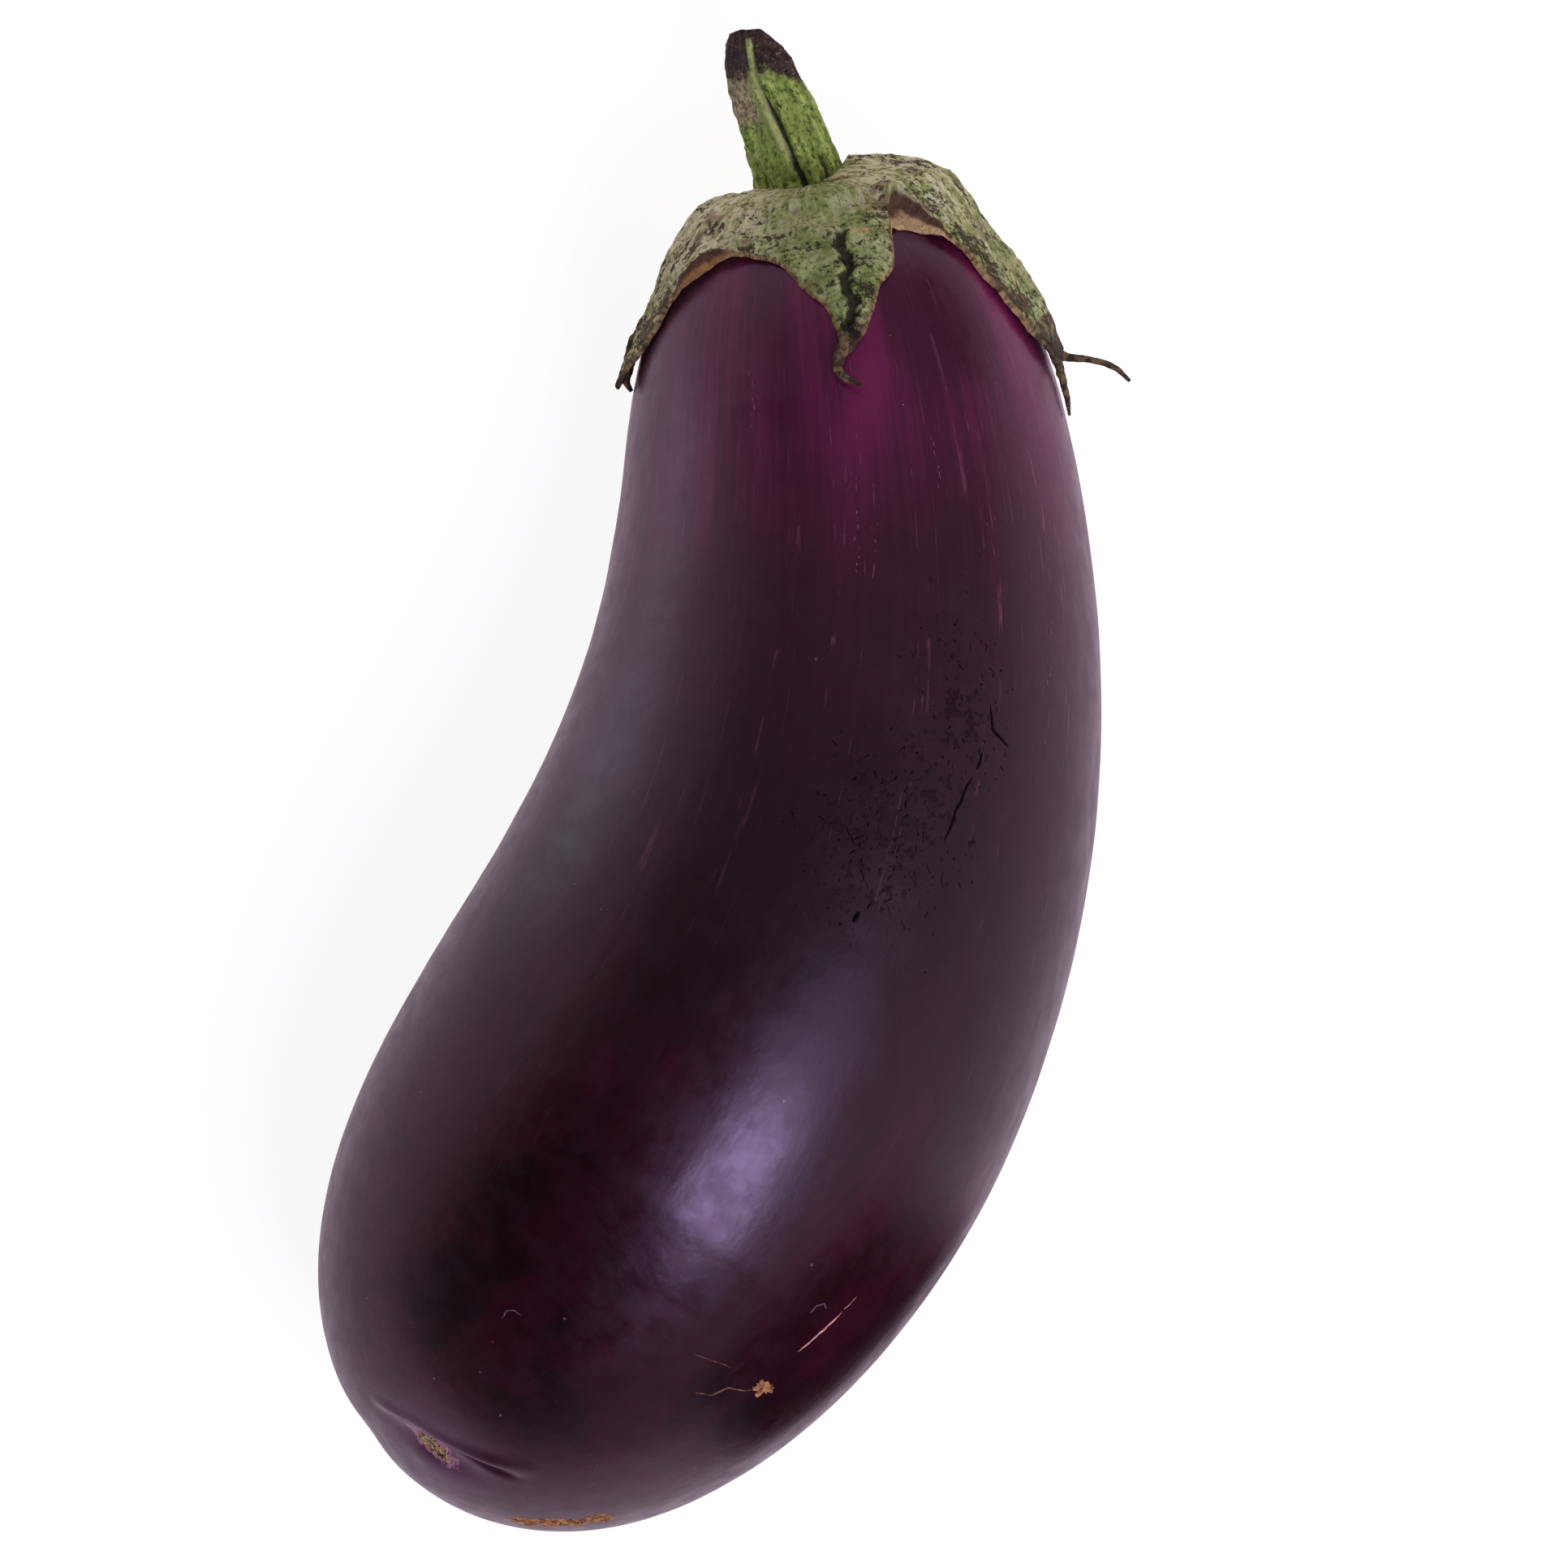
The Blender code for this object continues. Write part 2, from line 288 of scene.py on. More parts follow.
class Nodes:
    """Short calls for the nodes of a pattern."""

    def __init__(self, tree):
        self.tree = tree

    def feed(self, socket, value):
        if isinstance(value, bpy.types.NodeSocket):
            self.tree.links.new(value, socket)
        else:
            socket.default_value = value

    def node(self, kind, inputs=None, **settings):
        """A new node with numbers, or the outputs of other nodes, on its inputs."""
        made = self.tree.nodes.new(kind)
        for key, value in settings.items():
            setattr(made, key, value)
        for key, value in (inputs or {}).items():
            self.feed(made.inputs[key], value)
        return made

    def number(self, name):
        return self.node("ShaderNodeAttribute", attribute_name=name).outputs["Fac"]

    def vector(self, name):
        return self.node("ShaderNodeAttribute", attribute_name=name).outputs["Vector"]

    def math(self, operation, first, second=0.0, third=0.0):
        inputs = {0: first, 1: second, 2: third}
        return self.node("ShaderNodeMath", inputs, operation=operation).outputs[0]

    def times(self, first, *others):
        total = first
        for other in others:
            total = self.math("MULTIPLY", total, other)
        return total

    def add_up(self, first, *others):
        total = first
        for other in others:
            total = self.math("ADD", total, other)
        return total

    def size_of(self, value):
        return self.math("ABSOLUTE", value)

    def vector_math(self, operation, first, second=(0.0, 0.0, 0.0)):
        return self.node("ShaderNodeVectorMath", {0: first, 1: second}, operation=operation).outputs

    def length_of(self, vector):
        return self.vector_math("LENGTH", vector)["Value"]

    def scale(self, vector, factors):
        return self.vector_math("MULTIPLY", vector, factors)[0]

    def shift(self, vector, offset):
        return self.vector_math("ADD", vector, offset)[0]

    def towards(self, vector, direction):
        """How closely a unit vector points in this direction, from -1 to 1."""
        return self.vector_math("DOT_PRODUCT", vector, Vector(direction).normalized())["Value"]

    def part(self, vector, axis):
        return self.node("ShaderNodeSeparateXYZ", {0: vector}).outputs[axis]

    def noise(self, vector, scale, detail=3.0, roughness=0.55, distortion=0.0):
        inputs = {"Vector": vector, "Scale": scale, "Detail": detail}
        inputs.update({"Roughness": roughness, "Distortion": distortion})
        return self.node("ShaderNodeTexNoise", inputs).outputs["Fac"]

    def swing(self, vector, scale, detail, reach):
        """Noise about zero, up to half of reach to either side."""
        return self.times(self.math("SUBTRACT", self.noise(vector, scale, detail), 0.5), reach)

    def span(self, value, low, high, out_low=0.0, out_high=1.0):
        """Maps low..high smoothly to out_low..out_high and holds the ends."""
        inputs = {"Value": value, "From Min": low, "From Max": high, "To Min": out_low, "To Max": out_high}
        return self.node("ShaderNodeMapRange", inputs, interpolation_type="SMOOTHSTEP").outputs["Result"]

    def specks(self, vector, scale, inner, outer, channel, chosen):
        """Round specks, one to a cell of a pattern, in the cells where a random value is high enough."""
        cells = self.node("ShaderNodeTexVoronoi", {"Vector": vector, "Scale": scale}).outputs
        speck = self.span(cells["Distance"], inner, outer, 1.0, 0.0)
        return self.times(speck, self.span(self.part(cells["Color"], channel), chosen, chosen + 0.04))

    def mix(self, amount, first, second):
        inputs = {"Factor": amount, "A": with_alpha(first), "B": with_alpha(second)}
        return self.node("ShaderNodeMix", inputs, data_type="RGBA").outputs["Result"]

    def mix_number(self, amount, first, second):
        inputs = {"Factor": amount, "A": first, "B": second}
        return self.node("ShaderNodeMix", inputs, data_type="FLOAT").outputs["Result"]

    def ramp(self, value, stops):
        made = self.node("ShaderNodeValToRGB", {"Fac": value})
        elements = made.color_ramp.elements
        while len(elements) < len(stops):
            elements.new(0.5)
        for element, (position, colour) in zip(elements, stops):
            element.position = position
            element.color = with_alpha(colour)
        return made.outputs["Color"]

    def bump(self, height, distance, strength):
        """A surface normal for relief of this height; distance is in millimetres."""
        inputs = {"Height": height, "Distance": distance * MM, "Strength": strength}
        return self.node("ShaderNodeBump", inputs).outputs["Normal"]


class Shader(Nodes):
    """A Principled material and the nodes of its pattern."""

    def __init__(self, name, **settings):
        self.material = bpy.data.materials.new(name)
        self.material.use_nodes = True
        super().__init__(self.material.node_tree)
        self.colour = None
        self.shader = self.tree.nodes["Principled BSDF"]
        for key, value in settings.items():
            self.shader.inputs[key.replace("_", " ")].default_value = value

    def use(self, name, value):
        self.feed(self.shader.inputs[name], value)

    def paint(self, amount, colour):
        """Lays a colour over the one so far, fully where amount is 1."""
        self.colour = self.mix(amount, self.colour, colour)


def with_alpha(colour):
    if isinstance(colour, bpy.types.NodeSocket) or len(colour) == 4:
        return colour
    return (*colour, 1.0)


def screen(red, green, blue):
    """A colour given as it looks on a screen, from 0 to 255, as the linear light that a shader needs."""
    linear = []
    for value in (red, green, blue):
        part = value / 255.0
        linear.append(part / 12.92 if part <= 0.04045 else ((part + 0.055) / 1.055) ** 2.4)
    return tuple(linear)


# ---------------------------------------------------------------- fruit

FRUIT_ROWS = 270
FRUIT_COLUMNS = 352
DENT_TILT = math.radians(27.0)
DENT_REACH = 160.0
SCAR_ACROSS = 3.0
SPOKE_RADIUS = 30.0
SCAR_ABOVE = 4.2
SCAR_TILT = math.radians(8.0)
SCAR_HALF_LENGTH = 3.3
SCAR_HALF_WIDTH = 1.35
DENT_ABOVE_SCAR = 1.0
# The way that a shallow furrow runs on from the blossom scar, across and above.
FURROW_WAY = (-0.358, -0.932)

# Bright and dark bands down the neck: strength, middle and width in degrees, and the lengths
# over the skin where each is gone and where it is at full strength. The dark band at 34 degrees
# is painted shade of the calyx on the neck.
NECK_BANDS_AND_SHADE = (
    (0.25, -8.0, 7.0, 75.0, 50.0), (-0.85, 34.0, 15.0, 56.0, 38.0), (-0.30, 24.0, 10.0, 115.0, 75.0),
    (-0.35, -18.0, 9.0, 130.0, 60.0), (0.45, 62.0, 13.0, 150.0, 60.0),
)


def skin_lengths():
    """Rows over the skin, closest together at the blossom end."""
    fine = np.linspace(0.0, TOTAL, 2000)
    crowding = 1.0 + 2.4 * smooth(TOTAL - 42.0, TOTAL - 22.0, fine) + 0.5 * smooth(60.0, 30.0, fine)
    count = np.cumsum(crowding)
    return np.interp(np.linspace(count[0], count[-1], FRUIT_ROWS), count, fine)


def blossom_dent(reach, radius, angle):
    """How far the skin is drawn in round the blossom scar, and out along the lip above it."""
    across = radius * np.sin(angle) - SCAR_ACROSS
    above_scar = radius * np.cos(angle) - SCAR_ABOVE
    above = above_scar - DENT_ABOVE_SCAR
    along = across * math.cos(DENT_TILT) + above * math.sin(DENT_TILT)
    over = above * math.cos(DENT_TILT) - across * math.sin(DENT_TILT)
    pit = 1.35 * bump(over, -0.4, 2.8) * bump(along, 0.5, 7.0)
    broad = 0.35 * bump(over, -2.0, 8.0) * bump(along, 0.0, 12.0)
    bend = 1.75 - 0.010 * (along - 5.0) ** 2
    crease = 0.80 * bump(over, bend, 0.85) * smooth(0.5, 3.0, along) * smooth(15.0, 9.0, along)
    lip = 0.50 * bump(over, 3.1, 1.3) * smooth(-5.0, 1.0, along) * smooth(17.0, 9.0, along)
    left_lip = 0.32 * bump(over, 3.0 + 0.25 * (along + 5.0), 1.1)
    left_lip = left_lip * smooth(-13.0, -8.0, along) * smooth(-1.0, -4.0, along)
    down = FURROW_WAY[0] * across + FURROW_WAY[1] * above_scar
    beside = FURROW_WAY[1] * across - FURROW_WAY[0] * above_scar
    furrow = 0.45 * bump(beside, 1.0, 4.5) * smooth(2.0, 8.0, down) * smooth(42.0, 20.0, down)
    crust = 0.45 * smooth(1.15, 0.75, scar_distance(across, above_scar))
    drawn = pit + broad + crease - lip - left_lip + furrow - crust
    return drawn * smooth(DENT_REACH - 8.0, DENT_REACH, reach)


def scar_distance(across, above):
    """0 in the middle of the blossom scar and 1 on its edge."""
    along = across * math.cos(SCAR_TILT) + above * math.sin(SCAR_TILT)
    over = above * math.cos(SCAR_TILT) - across * math.sin(SCAR_TILT)
    return np.hypot(along / SCAR_HALF_LENGTH, over / SCAR_HALF_WIDTH)


def skin_relief(straight):
    """Gentle lumps, a slightly uneven waxy surface and fine lengthwise ribs."""
    lumps = 0.22 * fractal(straight, 38.0, 2, 11)
    uneven = 0.050 * fractal(straight * np.array([1.0, 1.0, 0.8]), 9.0, 2, 17)
    ribs = 0.02 * fractal(straight * np.array([1.0, 1.0, 0.06]), 4.0, 2, 23)
    rings = 0.045 * fractal(straight * np.array([0.22, 0.22, 1.0]) + 5.0, 6.0, 2, 29)
    return lumps + uneven + ribs + rings


def skin_surface(length, angle, extra=0.0):
    """Points at a height over the finished skin, with its lumps and the dent at the blossom end."""
    relief = skin_relief(unbent(length, angle))
    reach, radius = outline_at(length, relief + extra)
    dent = blossom_dent(*outline_at(length, relief), angle)
    return around_core(reach - dent, radius, angle)


def spokes_of(length, angle):
    """Coordinates for stripes: the first two stay the same along a lengthwise line over the skin."""
    return cylinder(SPOKE_RADIUS, angle, length)


def skin_tone(straight, spokes, length, angle):
    """Two vectors for the material: (ripeness shift, stripes and the painted shade of the calyx, blotches)
    and (worn patch, painted sheen, 0).
    """
    degrees = np.degrees(angle)
    uneven = 23.0 * fractal(straight, 30.0, 3, 201)
    bands_and_shade = 0.42 + 0.45 * fractal(spokes * np.array([1.0, 1.0, 0.14]), 9.0, 2, 211)
    bright = 7.5 - 6.0 * smooth(45.0, 62.0, length)
    bands_and_shade = bands_and_shade + 0.75 * bump(degrees, bright, 6.5) * smooth(100.0, 45.0, length)
    # The dark band at 34 degrees among these is painted shade of the calyx on the neck.
    for strength, middle, width, gone, full in NECK_BANDS_AND_SHADE:
        bands_and_shade = bands_and_shade + strength * bump(degrees, middle, width) * smooth(gone, full, length)
    blotches = fractal(straight * np.array([1.0, 1.0, 0.7]), 12.0, 5, 221)
    blotches = blotches + 0.30 * bump(degrees, 68.0, 7.0) * bump(length, 152.0, 7.0)
    blotches = blotches - 0.80 * bump(degrees, 10.0, 22.0) * bump(length, 122.0, 17.0)
    patch = bump(degrees, 18.0, 17.0) * bump(length, 116.0, 15.0)
    patch = patch + 0.7 * bump(degrees, 33.0, 8.0) * bump(length, 98.0, 12.0)
    patch = np.clip(patch, 0.0, 1.0) * smooth(-0.30, 0.25, fractal(straight, 5.0, 4, 231) + 0.25)
    # A painted sheen: a pale bluish reflection painted into the colour of the left flank, with wispy streaks,
    # and a fainter one nearer the neck.
    wisps = 0.55 + 0.9 * fractal(straight * np.array([0.25, 0.25, 1.0]), 6.0, 3, 241)
    painted_sheen = 0.40 * bump(degrees, -56.0, 15.0) * smooth(78.0, 104.0, length) * smooth(136.0, 116.0, length)
    painted_sheen = painted_sheen * np.clip(wisps, 0.0, 1.2) + 0.16 * bump(degrees, -62.0, 25.0) * smooth(100.0, 60.0, length)
    return np.stack([uneven, bands_and_shade, blotches], -1), np.stack([patch, painted_sheen, 0.0 * patch], -1)


def make_fruit(material):
    lengths = skin_lengths()[1:-1]
    turns = np.linspace(-math.pi, math.pi, FRUIT_COLUMNS, endpoint=False)
    length, angle = np.meshgrid(lengths, turns, indexing="ij")
    straight = unbent(length, angle)
    rings = skin_surface(length, angle)
    rings[..., 2] = np.maximum(rings[..., 2], 0.0)
    points, faces = capped_tube(rings)
    fruit = place("skin_of_fruit", points, faces, material)
    spokes = spokes_of(length, angle)
    # The dull values hold the worn patch and the painted sheen of the left flank.
    tone, dull = skin_tone(straight, spokes, length, angle)
    scar = np.stack([straight[..., 0] - SCAR_ACROSS, straight[..., 1] - SCAR_ABOVE, length], -1)
    ends = np.array([[0.0, 0.0, 0.0], [0.0, 0.0, TOTAL]])
    scar_ends = np.array([[-SCAR_ACROSS, -SCAR_ABOVE, 0.0], [-SCAR_ACROSS, -SCAR_ABOVE, TOTAL]])
    for name, values, at_ends in (
        ("straight", straight, ends),
        ("from_scar", scar, scar_ends),
        ("tone", tone, tone[[0, -1], 0]),
        ("dull", dull, dull[[0, -1], 0]),
        ("spokes", spokes, ends),
    ):
        add_values(fruit, name, np.concatenate([values.reshape(-1, 3), at_ends]))
    finish_piece(fruit, "fruit")


# Skin colours from the neck, 0, to the blossom end, 1, where it ripened in the sun and in shade;
# the darker ones also paint the shade of the calyx on the neck.
IN_SUN = (
    (0.08, (0.215, 0.012, 0.084)),
    (0.20, (0.150, 0.010, 0.056)),
    (0.31, (0.052, 0.0050, 0.019)),
    (0.42, (0.021, 0.0024, 0.0080)),
    (0.55, (0.0170, 0.0014, 0.0052)),
    (0.66, (0.0275, 0.0014, 0.0058)),
    (0.90, (0.0290, 0.0015, 0.0070)),
)
IN_SHADE = (
    (0.08, (0.060, 0.0035, 0.023)),
    (0.22, (0.044, 0.0038, 0.018)),
    (0.36, (0.020, 0.0026, 0.0085)),
    (0.48, (0.0085, 0.0012, 0.0036)),
    (0.66, (0.0170, 0.0012, 0.0052)),
    (1.00, (0.0180, 0.0012, 0.0058)),
)
RED_BLOTCH = (0.034, 0.0018, 0.0090)
DARK_BLOTCH = (0.0075, 0.0011, 0.0030)
WORN = (0.0025, 0.0008, 0.0016)
# A pale bluish colour that paints a sheen, a reflection, on the left flank.
PAINTED_SHEEN = (0.120, 0.105, 0.145)
PALE_STREAK = (0.26, 0.09, 0.15)
PINK_FLECK = (0.20, 0.030, 0.080)
DUST_SPECK = (0.34, 0.29, 0.32)
SCAR_HOLLOW = (0.085, 0.022, 0.060)
GLOSS_TINT = (1.0, 0.72, 0.94, 1.0)


def skin_material():
    s = Shader("aubergine_skin", Specular_IOR_Level=0.5)
    s.use("Specular Tint", GLOSS_TINT)
    s.use("Sheen Weight", 0.06)
    s.use("Sheen Roughness", 0.35)
    s.use("Sheen Tint", (0.85, 0.36, 0.62, 1.0))
    straight = s.vector("straight")
    tone = s.vector("tone")
    worn_and_sheen_layers = s.vector("dull")
    spokes = s.vector("spokes")
    length = s.part(straight, 2)

    # Colour along the fruit: magenta by the calyx, nearly black on the body.
    ripeness = s.math("DIVIDE", s.add_up(length, s.part(tone, 0)), TOTAL)
    fibres = s.noise(s.scale(spokes, (1.0, 1.0, 0.03)), 1.1, 3.0, 0.65)
    bands_and_shade = s.add_up(s.part(tone, 1), s.span(fibres, 0.25, 0.75, -0.22, 0.22))
    # The darker colours also paint the calyx's shade on the neck, where the dark band at 34 degrees lies.
    s.colour = s.mix(s.span(bands_and_shade, 0.0, 1.0), s.ramp(ripeness, IN_SHADE), s.ramp(ripeness, IN_SUN))

    # Reddish and dark blotches on the body.
    blotches = s.part(tone, 2)
    on_body = s.span(length, 95.0, 130.0)
    s.paint(s.times(s.span(blotches, 0.10, 0.42), on_body), RED_BLOTCH)
    s.paint(s.times(s.span(blotches, -0.06, -0.40), on_body), DARK_BLOTCH)
    mottle = s.span(s.noise(straight, 0.75, 3.0, 0.65), 0.42, 0.60, 0.25, 1.0)
    dull = s.times(s.part(worn_and_sheen_layers, 0), mottle)
    s.paint(s.times(dull, 0.92), WORN)
    # Painted sheen: a pale reflection painted into the colour of the left flank.
    s.paint(s.part(worn_and_sheen_layers, 1), PAINTED_SHEEN)

    # Thin pale streaks along the fruit, broken into dashes.
    line = s.noise(s.scale(spokes, (1.0, 1.0, 0.008)), 0.33, 1.0)
    thread = s.size_of(s.math("SUBTRACT", line, 0.5))
    dashes = s.span(s.noise(s.scale(spokes, (1.0, 1.0, 0.20)), 0.8, 3.0, 0.6), 0.50, 0.62)
    fading = s.span(length, 60.0, 160.0, 1.0, 0.10)
    streaks = s.times(s.span(thread, 0.0, 0.013, 1.0, 0.0), dashes)
    streaks = s.times(streaks, fading, s.span(bands_and_shade, 0.20, 0.70, 0.40, 1.0))
    s.paint(s.times(streaks, 0.60), PALE_STREAK)

    # Short pink flecks, drawn out along the fruit, and specks of pale dust.
    flecks = s.specks(s.scale(straight, (1.0, 1.0, 0.30)), 0.19, 0.020, 0.050, 0, 0.50)
    s.paint(s.times(flecks, 0.5), PINK_FLECK)
    dust = s.specks(straight, 0.16, 0.014, 0.026, 1, 0.55)
    s.paint(s.times(dust, 0.75), DUST_SPECK)

    # The blossom scar: a tan crust with a pink rim in a purple hollow.
    from_scar = s.vector("from_scar")
    blossom_end = s.span(s.part(from_scar, 2), 205.0, 212.0)
    flat = s.scale(from_scar, (1.0, 1.0, 0.0))
    around = s.times(s.span(s.length_of(flat), 15.0, 3.0), blossom_end)
    s.paint(s.times(around, 0.75), SCAR_HOLLOW)
    level = s.node("ShaderNodeVectorRotate", {"Vector": flat, "Angle": -SCAR_TILT}, rotation_type="Z_AXIS")
    squeezed = s.scale(level.outputs[0], (1.0 / SCAR_HALF_LENGTH, 1.0 / SCAR_HALF_WIDTH, 0.0))
    distance = s.add_up(s.length_of(squeezed), s.swing(straight, 1.0, 2.0, 1.5))
    rim = s.times(s.span(distance, 1.55, 1.10), blossom_end)
    scar = s.times(s.span(distance, 1.02, 0.90), blossom_end)
    grainy = s.span(s.noise(straight, 1.9, 3.0, 0.6), 0.40, 0.62)
    crust = s.mix(grainy, screen(96, 72, 40), screen(206, 176, 112))
    holes = s.span(s.noise(s.shift(straight, (5.0, 3.0, 1.0)), 1.7, 2.0), 0.58, 0.62)
    crust = s.mix(holes, crust, screen(28, 18, 14))
    s.paint(s.times(rim, 0.7), screen(196, 140, 160))
    s.paint(scar, crust)
    s.use("Base Color", s.colour)

    waxy = s.span(s.noise(straight, 0.22, 4.0, 0.6), 0.30, 0.70, 0.25, 0.37)
    s.use("Roughness", s.add_up(waxy, s.times(scar, 0.4)))
    fine = s.noise(s.scale(straight, (1.0, 1.0, 0.6)), 0.42, 3.0, 0.5)
    relief = s.add_up(fine, s.times(dull, -0.35), s.times(holes, s.times(scar, -1.5)))
    s.use("Normal", s.bump(relief, 0.08, 0.6))
    return s.material


# ---------------------------------------------------------------- marks on the skin

# Places over the skin as (length, angle in degrees).
SCAB = (182.6, 50.4)
SCAB_STRINGS = (
    ((191.2, 39.0), (189.4, 42.6), (188.0, 43.0), (186.6, 43.6), (185.0, 47.4), (183.6, 49.0)),
    ((186.9, 31.0), (185.6, 34.6), (184.4, 37.8), (183.8, 40.0)),
)
CORKY_EDGE = ((220.6, 90.5), (217.6, 86.5), (214.6, 83.0), (211.8, 80.0))
SCRATCH = ((174.6, 49.4), (171.0, 50.1), (168.6, 50.7), (165.8, 51.4))
SCRATCH_END = ((165.6, 51.4), (164.4, 51.8), (163.4, 52.0))
GREY_ARCS = (
    ((168.6, 44.2), (167.0, 44.4), (166.2, 45.8), (166.6, 47.2)),
    ((207.5, -6.6), (205.6, -6.8), (204.6, -5.2), (204.5, -3.0)),
)
DUST = (
    (225.9, -67.2), (223.9, -13.8), (216.9, -1.0), (199.3, 5.0), (219.3, 16.2), (163.0, 37.0), (92.5, -7.0),
)
CREASES = (
    ((94.6, 32.6), (96.0, 33.2), (97.6, 33.6), (98.4, 36.0), (99.2, 38.4)),
    ((104.0, 29.8), (105.6, 28.6), (107.4, 27.9), (108.8, 26.9), (110.4, 26.7), (112.8, 25.7)),
    ((100.6, 31.6), (101.9, 31.2), (103.0, 30.5)),
)
NICK = ((124.2, 12.5), (125.0, 12.0), (125.8, 11.9))
STREAKS = (
    ((50.0, 4.5), (60.0, 1.8)), ((63.0, 1.0), (79.0, 0.8)), ((65.0, 5.4), (80.0, 4.2)),
    ((45.0, 43.0), (52.0, 43.6)), ((70.0, 33.5), (76.0, 34.0)),
    ((70.0, 52.5), (79.0, 53.2)), ((82.0, 51.0), (98.0, 49.5)), ((44.0, -24.0), (56.0, -25.0)),
    ((58.0, 21.0), (66.0, 21.5)),
)
THREAD_SIDES = 10


def skin_thread(path, half_width, height, seed):
    """Points and faces of a thin raised line on the skin, tapering to its ends."""
    places = np.array(path, dtype=float)
    local = float(outline_at(np.array(places[:, 0].mean()))[1])
    chart = np.stack([places[:, 0], np.radians(places[:, 1]) * local], -1)
    walked = running_length(chart)
    count = max(12, int(walked[-1] / 0.18))
    even = np.linspace(0.0, walked[-1], count)
    line = points_on(chart, walked, even)
    wobble = np.stack([even, 0.0 * even, 0.0 * even + seed], -1)
    line = line + 0.12 * np.stack([fractal(wobble, 0.9, 2, seed), fractal(wobble, 0.9, 2, seed + 9)], -1)
    ahead = unit(np.gradient(line, axis=0))
    beside = np.stack([-ahead[:, 1], ahead[:, 0]], -1)
    part = even / even[-1]
    taper = np.sqrt(np.clip(4.0 * part * (1.0 - part), 0.0, 1.0))
    taper = taper * (1.0 + 0.45 * fractal(wobble, 0.7, 2, seed + 4))
    turn = np.linspace(0.0, 2.0 * math.pi, THREAD_SIDES, endpoint=False)
    out = np.sin(turn)
    spread = (half_width * taper)[:, None] * np.cos(turn)
    chart_points = line[:, None] + beside[:, None] * spread[..., None]
    offset = np.where(out > 0.0, height * out, 0.12 * out) * np.maximum(taper, 0.05)[:, None]
    return capped_tube(skin_surface(chart_points[..., 0], chart_points[..., 1] / local, offset))


def skin_crust(centre, half_length, half_width, tilt, height, ragged, seed, rows=26, columns=72):
    """Points and faces of a low crust on the skin with a ragged edge."""
    rho = np.linspace(0.0, 1.0, rows)[:, None]
    turn = np.linspace(0.0, 2.0 * math.pi, columns, endpoint=False)[None, :]
    circle = np.stack([np.cos(turn) * 2.0, np.sin(turn) * 2.0, 0.0 * turn + seed], -1)
    edge = 1.0 + ragged * fractal(circle, 0.9, 3, seed)
    u = rho * edge * np.cos(turn) * half_length
    v = rho * edge * np.sin(turn) * half_width
    length = centre[0] + u * math.cos(tilt) - v * math.sin(tilt)
    local = float(outline_at(np.array(float(centre[0])))[1])
    angle = math.radians(centre[1]) + (u * math.sin(tilt) + v * math.cos(tilt)) / local
    spot = np.stack([u, v, 0.0 * u + seed], -1)
    dome = height * (1.0 - rho**2.4) * (1.0 + 0.9 * fractal(spot, 0.75, 3, seed + 3)) - 0.05
    top = skin_surface(length, angle, dome)
    low = skin_surface(length[-1:], angle[-1:], -0.3)
    rings = np.concatenate([top[1:], low])
    return capped_tube(rings)


def broken_streak(ends, seed):
    """A chain of fine specks and dashes of uneven length along a line over the skin."""
    rng = np.random.default_rng(seed)
    start, stop = np.array(ends)
    whole = stop[0] - start[0]
    at = rng.uniform(0.0, 0.5)
    dashes = []
    while at < whole:
        reach = at + 0.25 + rng.exponential(0.55)
        middle = 0.5 * (at + reach)
        drift = np.array([0.0, rng.normal(0.0, 0.45)])
        lean = np.array([0.0, rng.normal(0.0, 0.12)])
        path = [start + (stop - start) * part / whole + drift for part in (at, middle, reach)]
        path[2] = path[2] + lean
        dashes.append(skin_thread(path, rng.uniform(0.035, 0.10), 0.012, seed))
        at = reach + rng.exponential(1.1)
    return dashes


def cracked_patch(centre, spread, count, seed):
    """Short dark cracks scattered over a place on the skin."""
    rng = np.random.default_rng(seed)
    cracks = []
    for _ in range(count):
        length, degrees = np.array(centre) + rng.normal(0.0, 1.0, 2) * np.array(spread)
        lean = rng.normal(0.0, 0.9)
        size = 0.25 + rng.exponential(0.35)
        path = []
        for step in (0.0, 0.5, 1.0):
            path.append((length + size * step, degrees + lean * size * step + rng.normal(0.0, 0.15)))
        cracks.append(skin_thread(path, rng.uniform(0.04, 0.11), 0.012, seed))
    return cracks


def dull_blots(centre, spread, count, seed):
    """Low matt blots crowded over a place on the skin, largest in the middle."""
    rng = np.random.default_rng(seed)
    blots = []
    for number in range(count):
        away = rng.normal(0.0, 1.0, 2)
        length, degrees = np.array(centre) + away * np.array(spread)
        size = (0.24 + rng.exponential(0.30)) * math.exp(-0.15 * float(away @ away))
        tilt = rng.uniform(-0.6, 0.6)
        blots.append(skin_crust((length, degrees), 1.3 * size, size, tilt, 0.070, 1.6, seed + number, 7, 24))
    return blots


def signed_volume(points, faces):
    """Above zero when the faces of a closed mesh point outwards."""
    triangles = []
    for face in faces:
        triangles += [(face[0], face[step], face[step + 1]) for step in range(1, len(face) - 1)]
    corners = points[np.array(triangles)] - points.mean(0)
    return np.einsum("ij,ij->i", corners[:, 0], np.cross(corners[:, 1], corners[:, 2])).sum()


def joined(name, parts, material):
    """One piece from several closed meshes, each with its faces pointing outwards."""
    points = np.concatenate([part[0] for part in parts])
    faces = []
    first = 0
    for part_points, part_faces in parts:
        step = 1 if signed_volume(part_points, part_faces) > 0.0 else -1
        faces += [tuple(corner + first for corner in face[::step]) for face in part_faces]
        first += len(part_points)
    return place(name, points, faces, material)


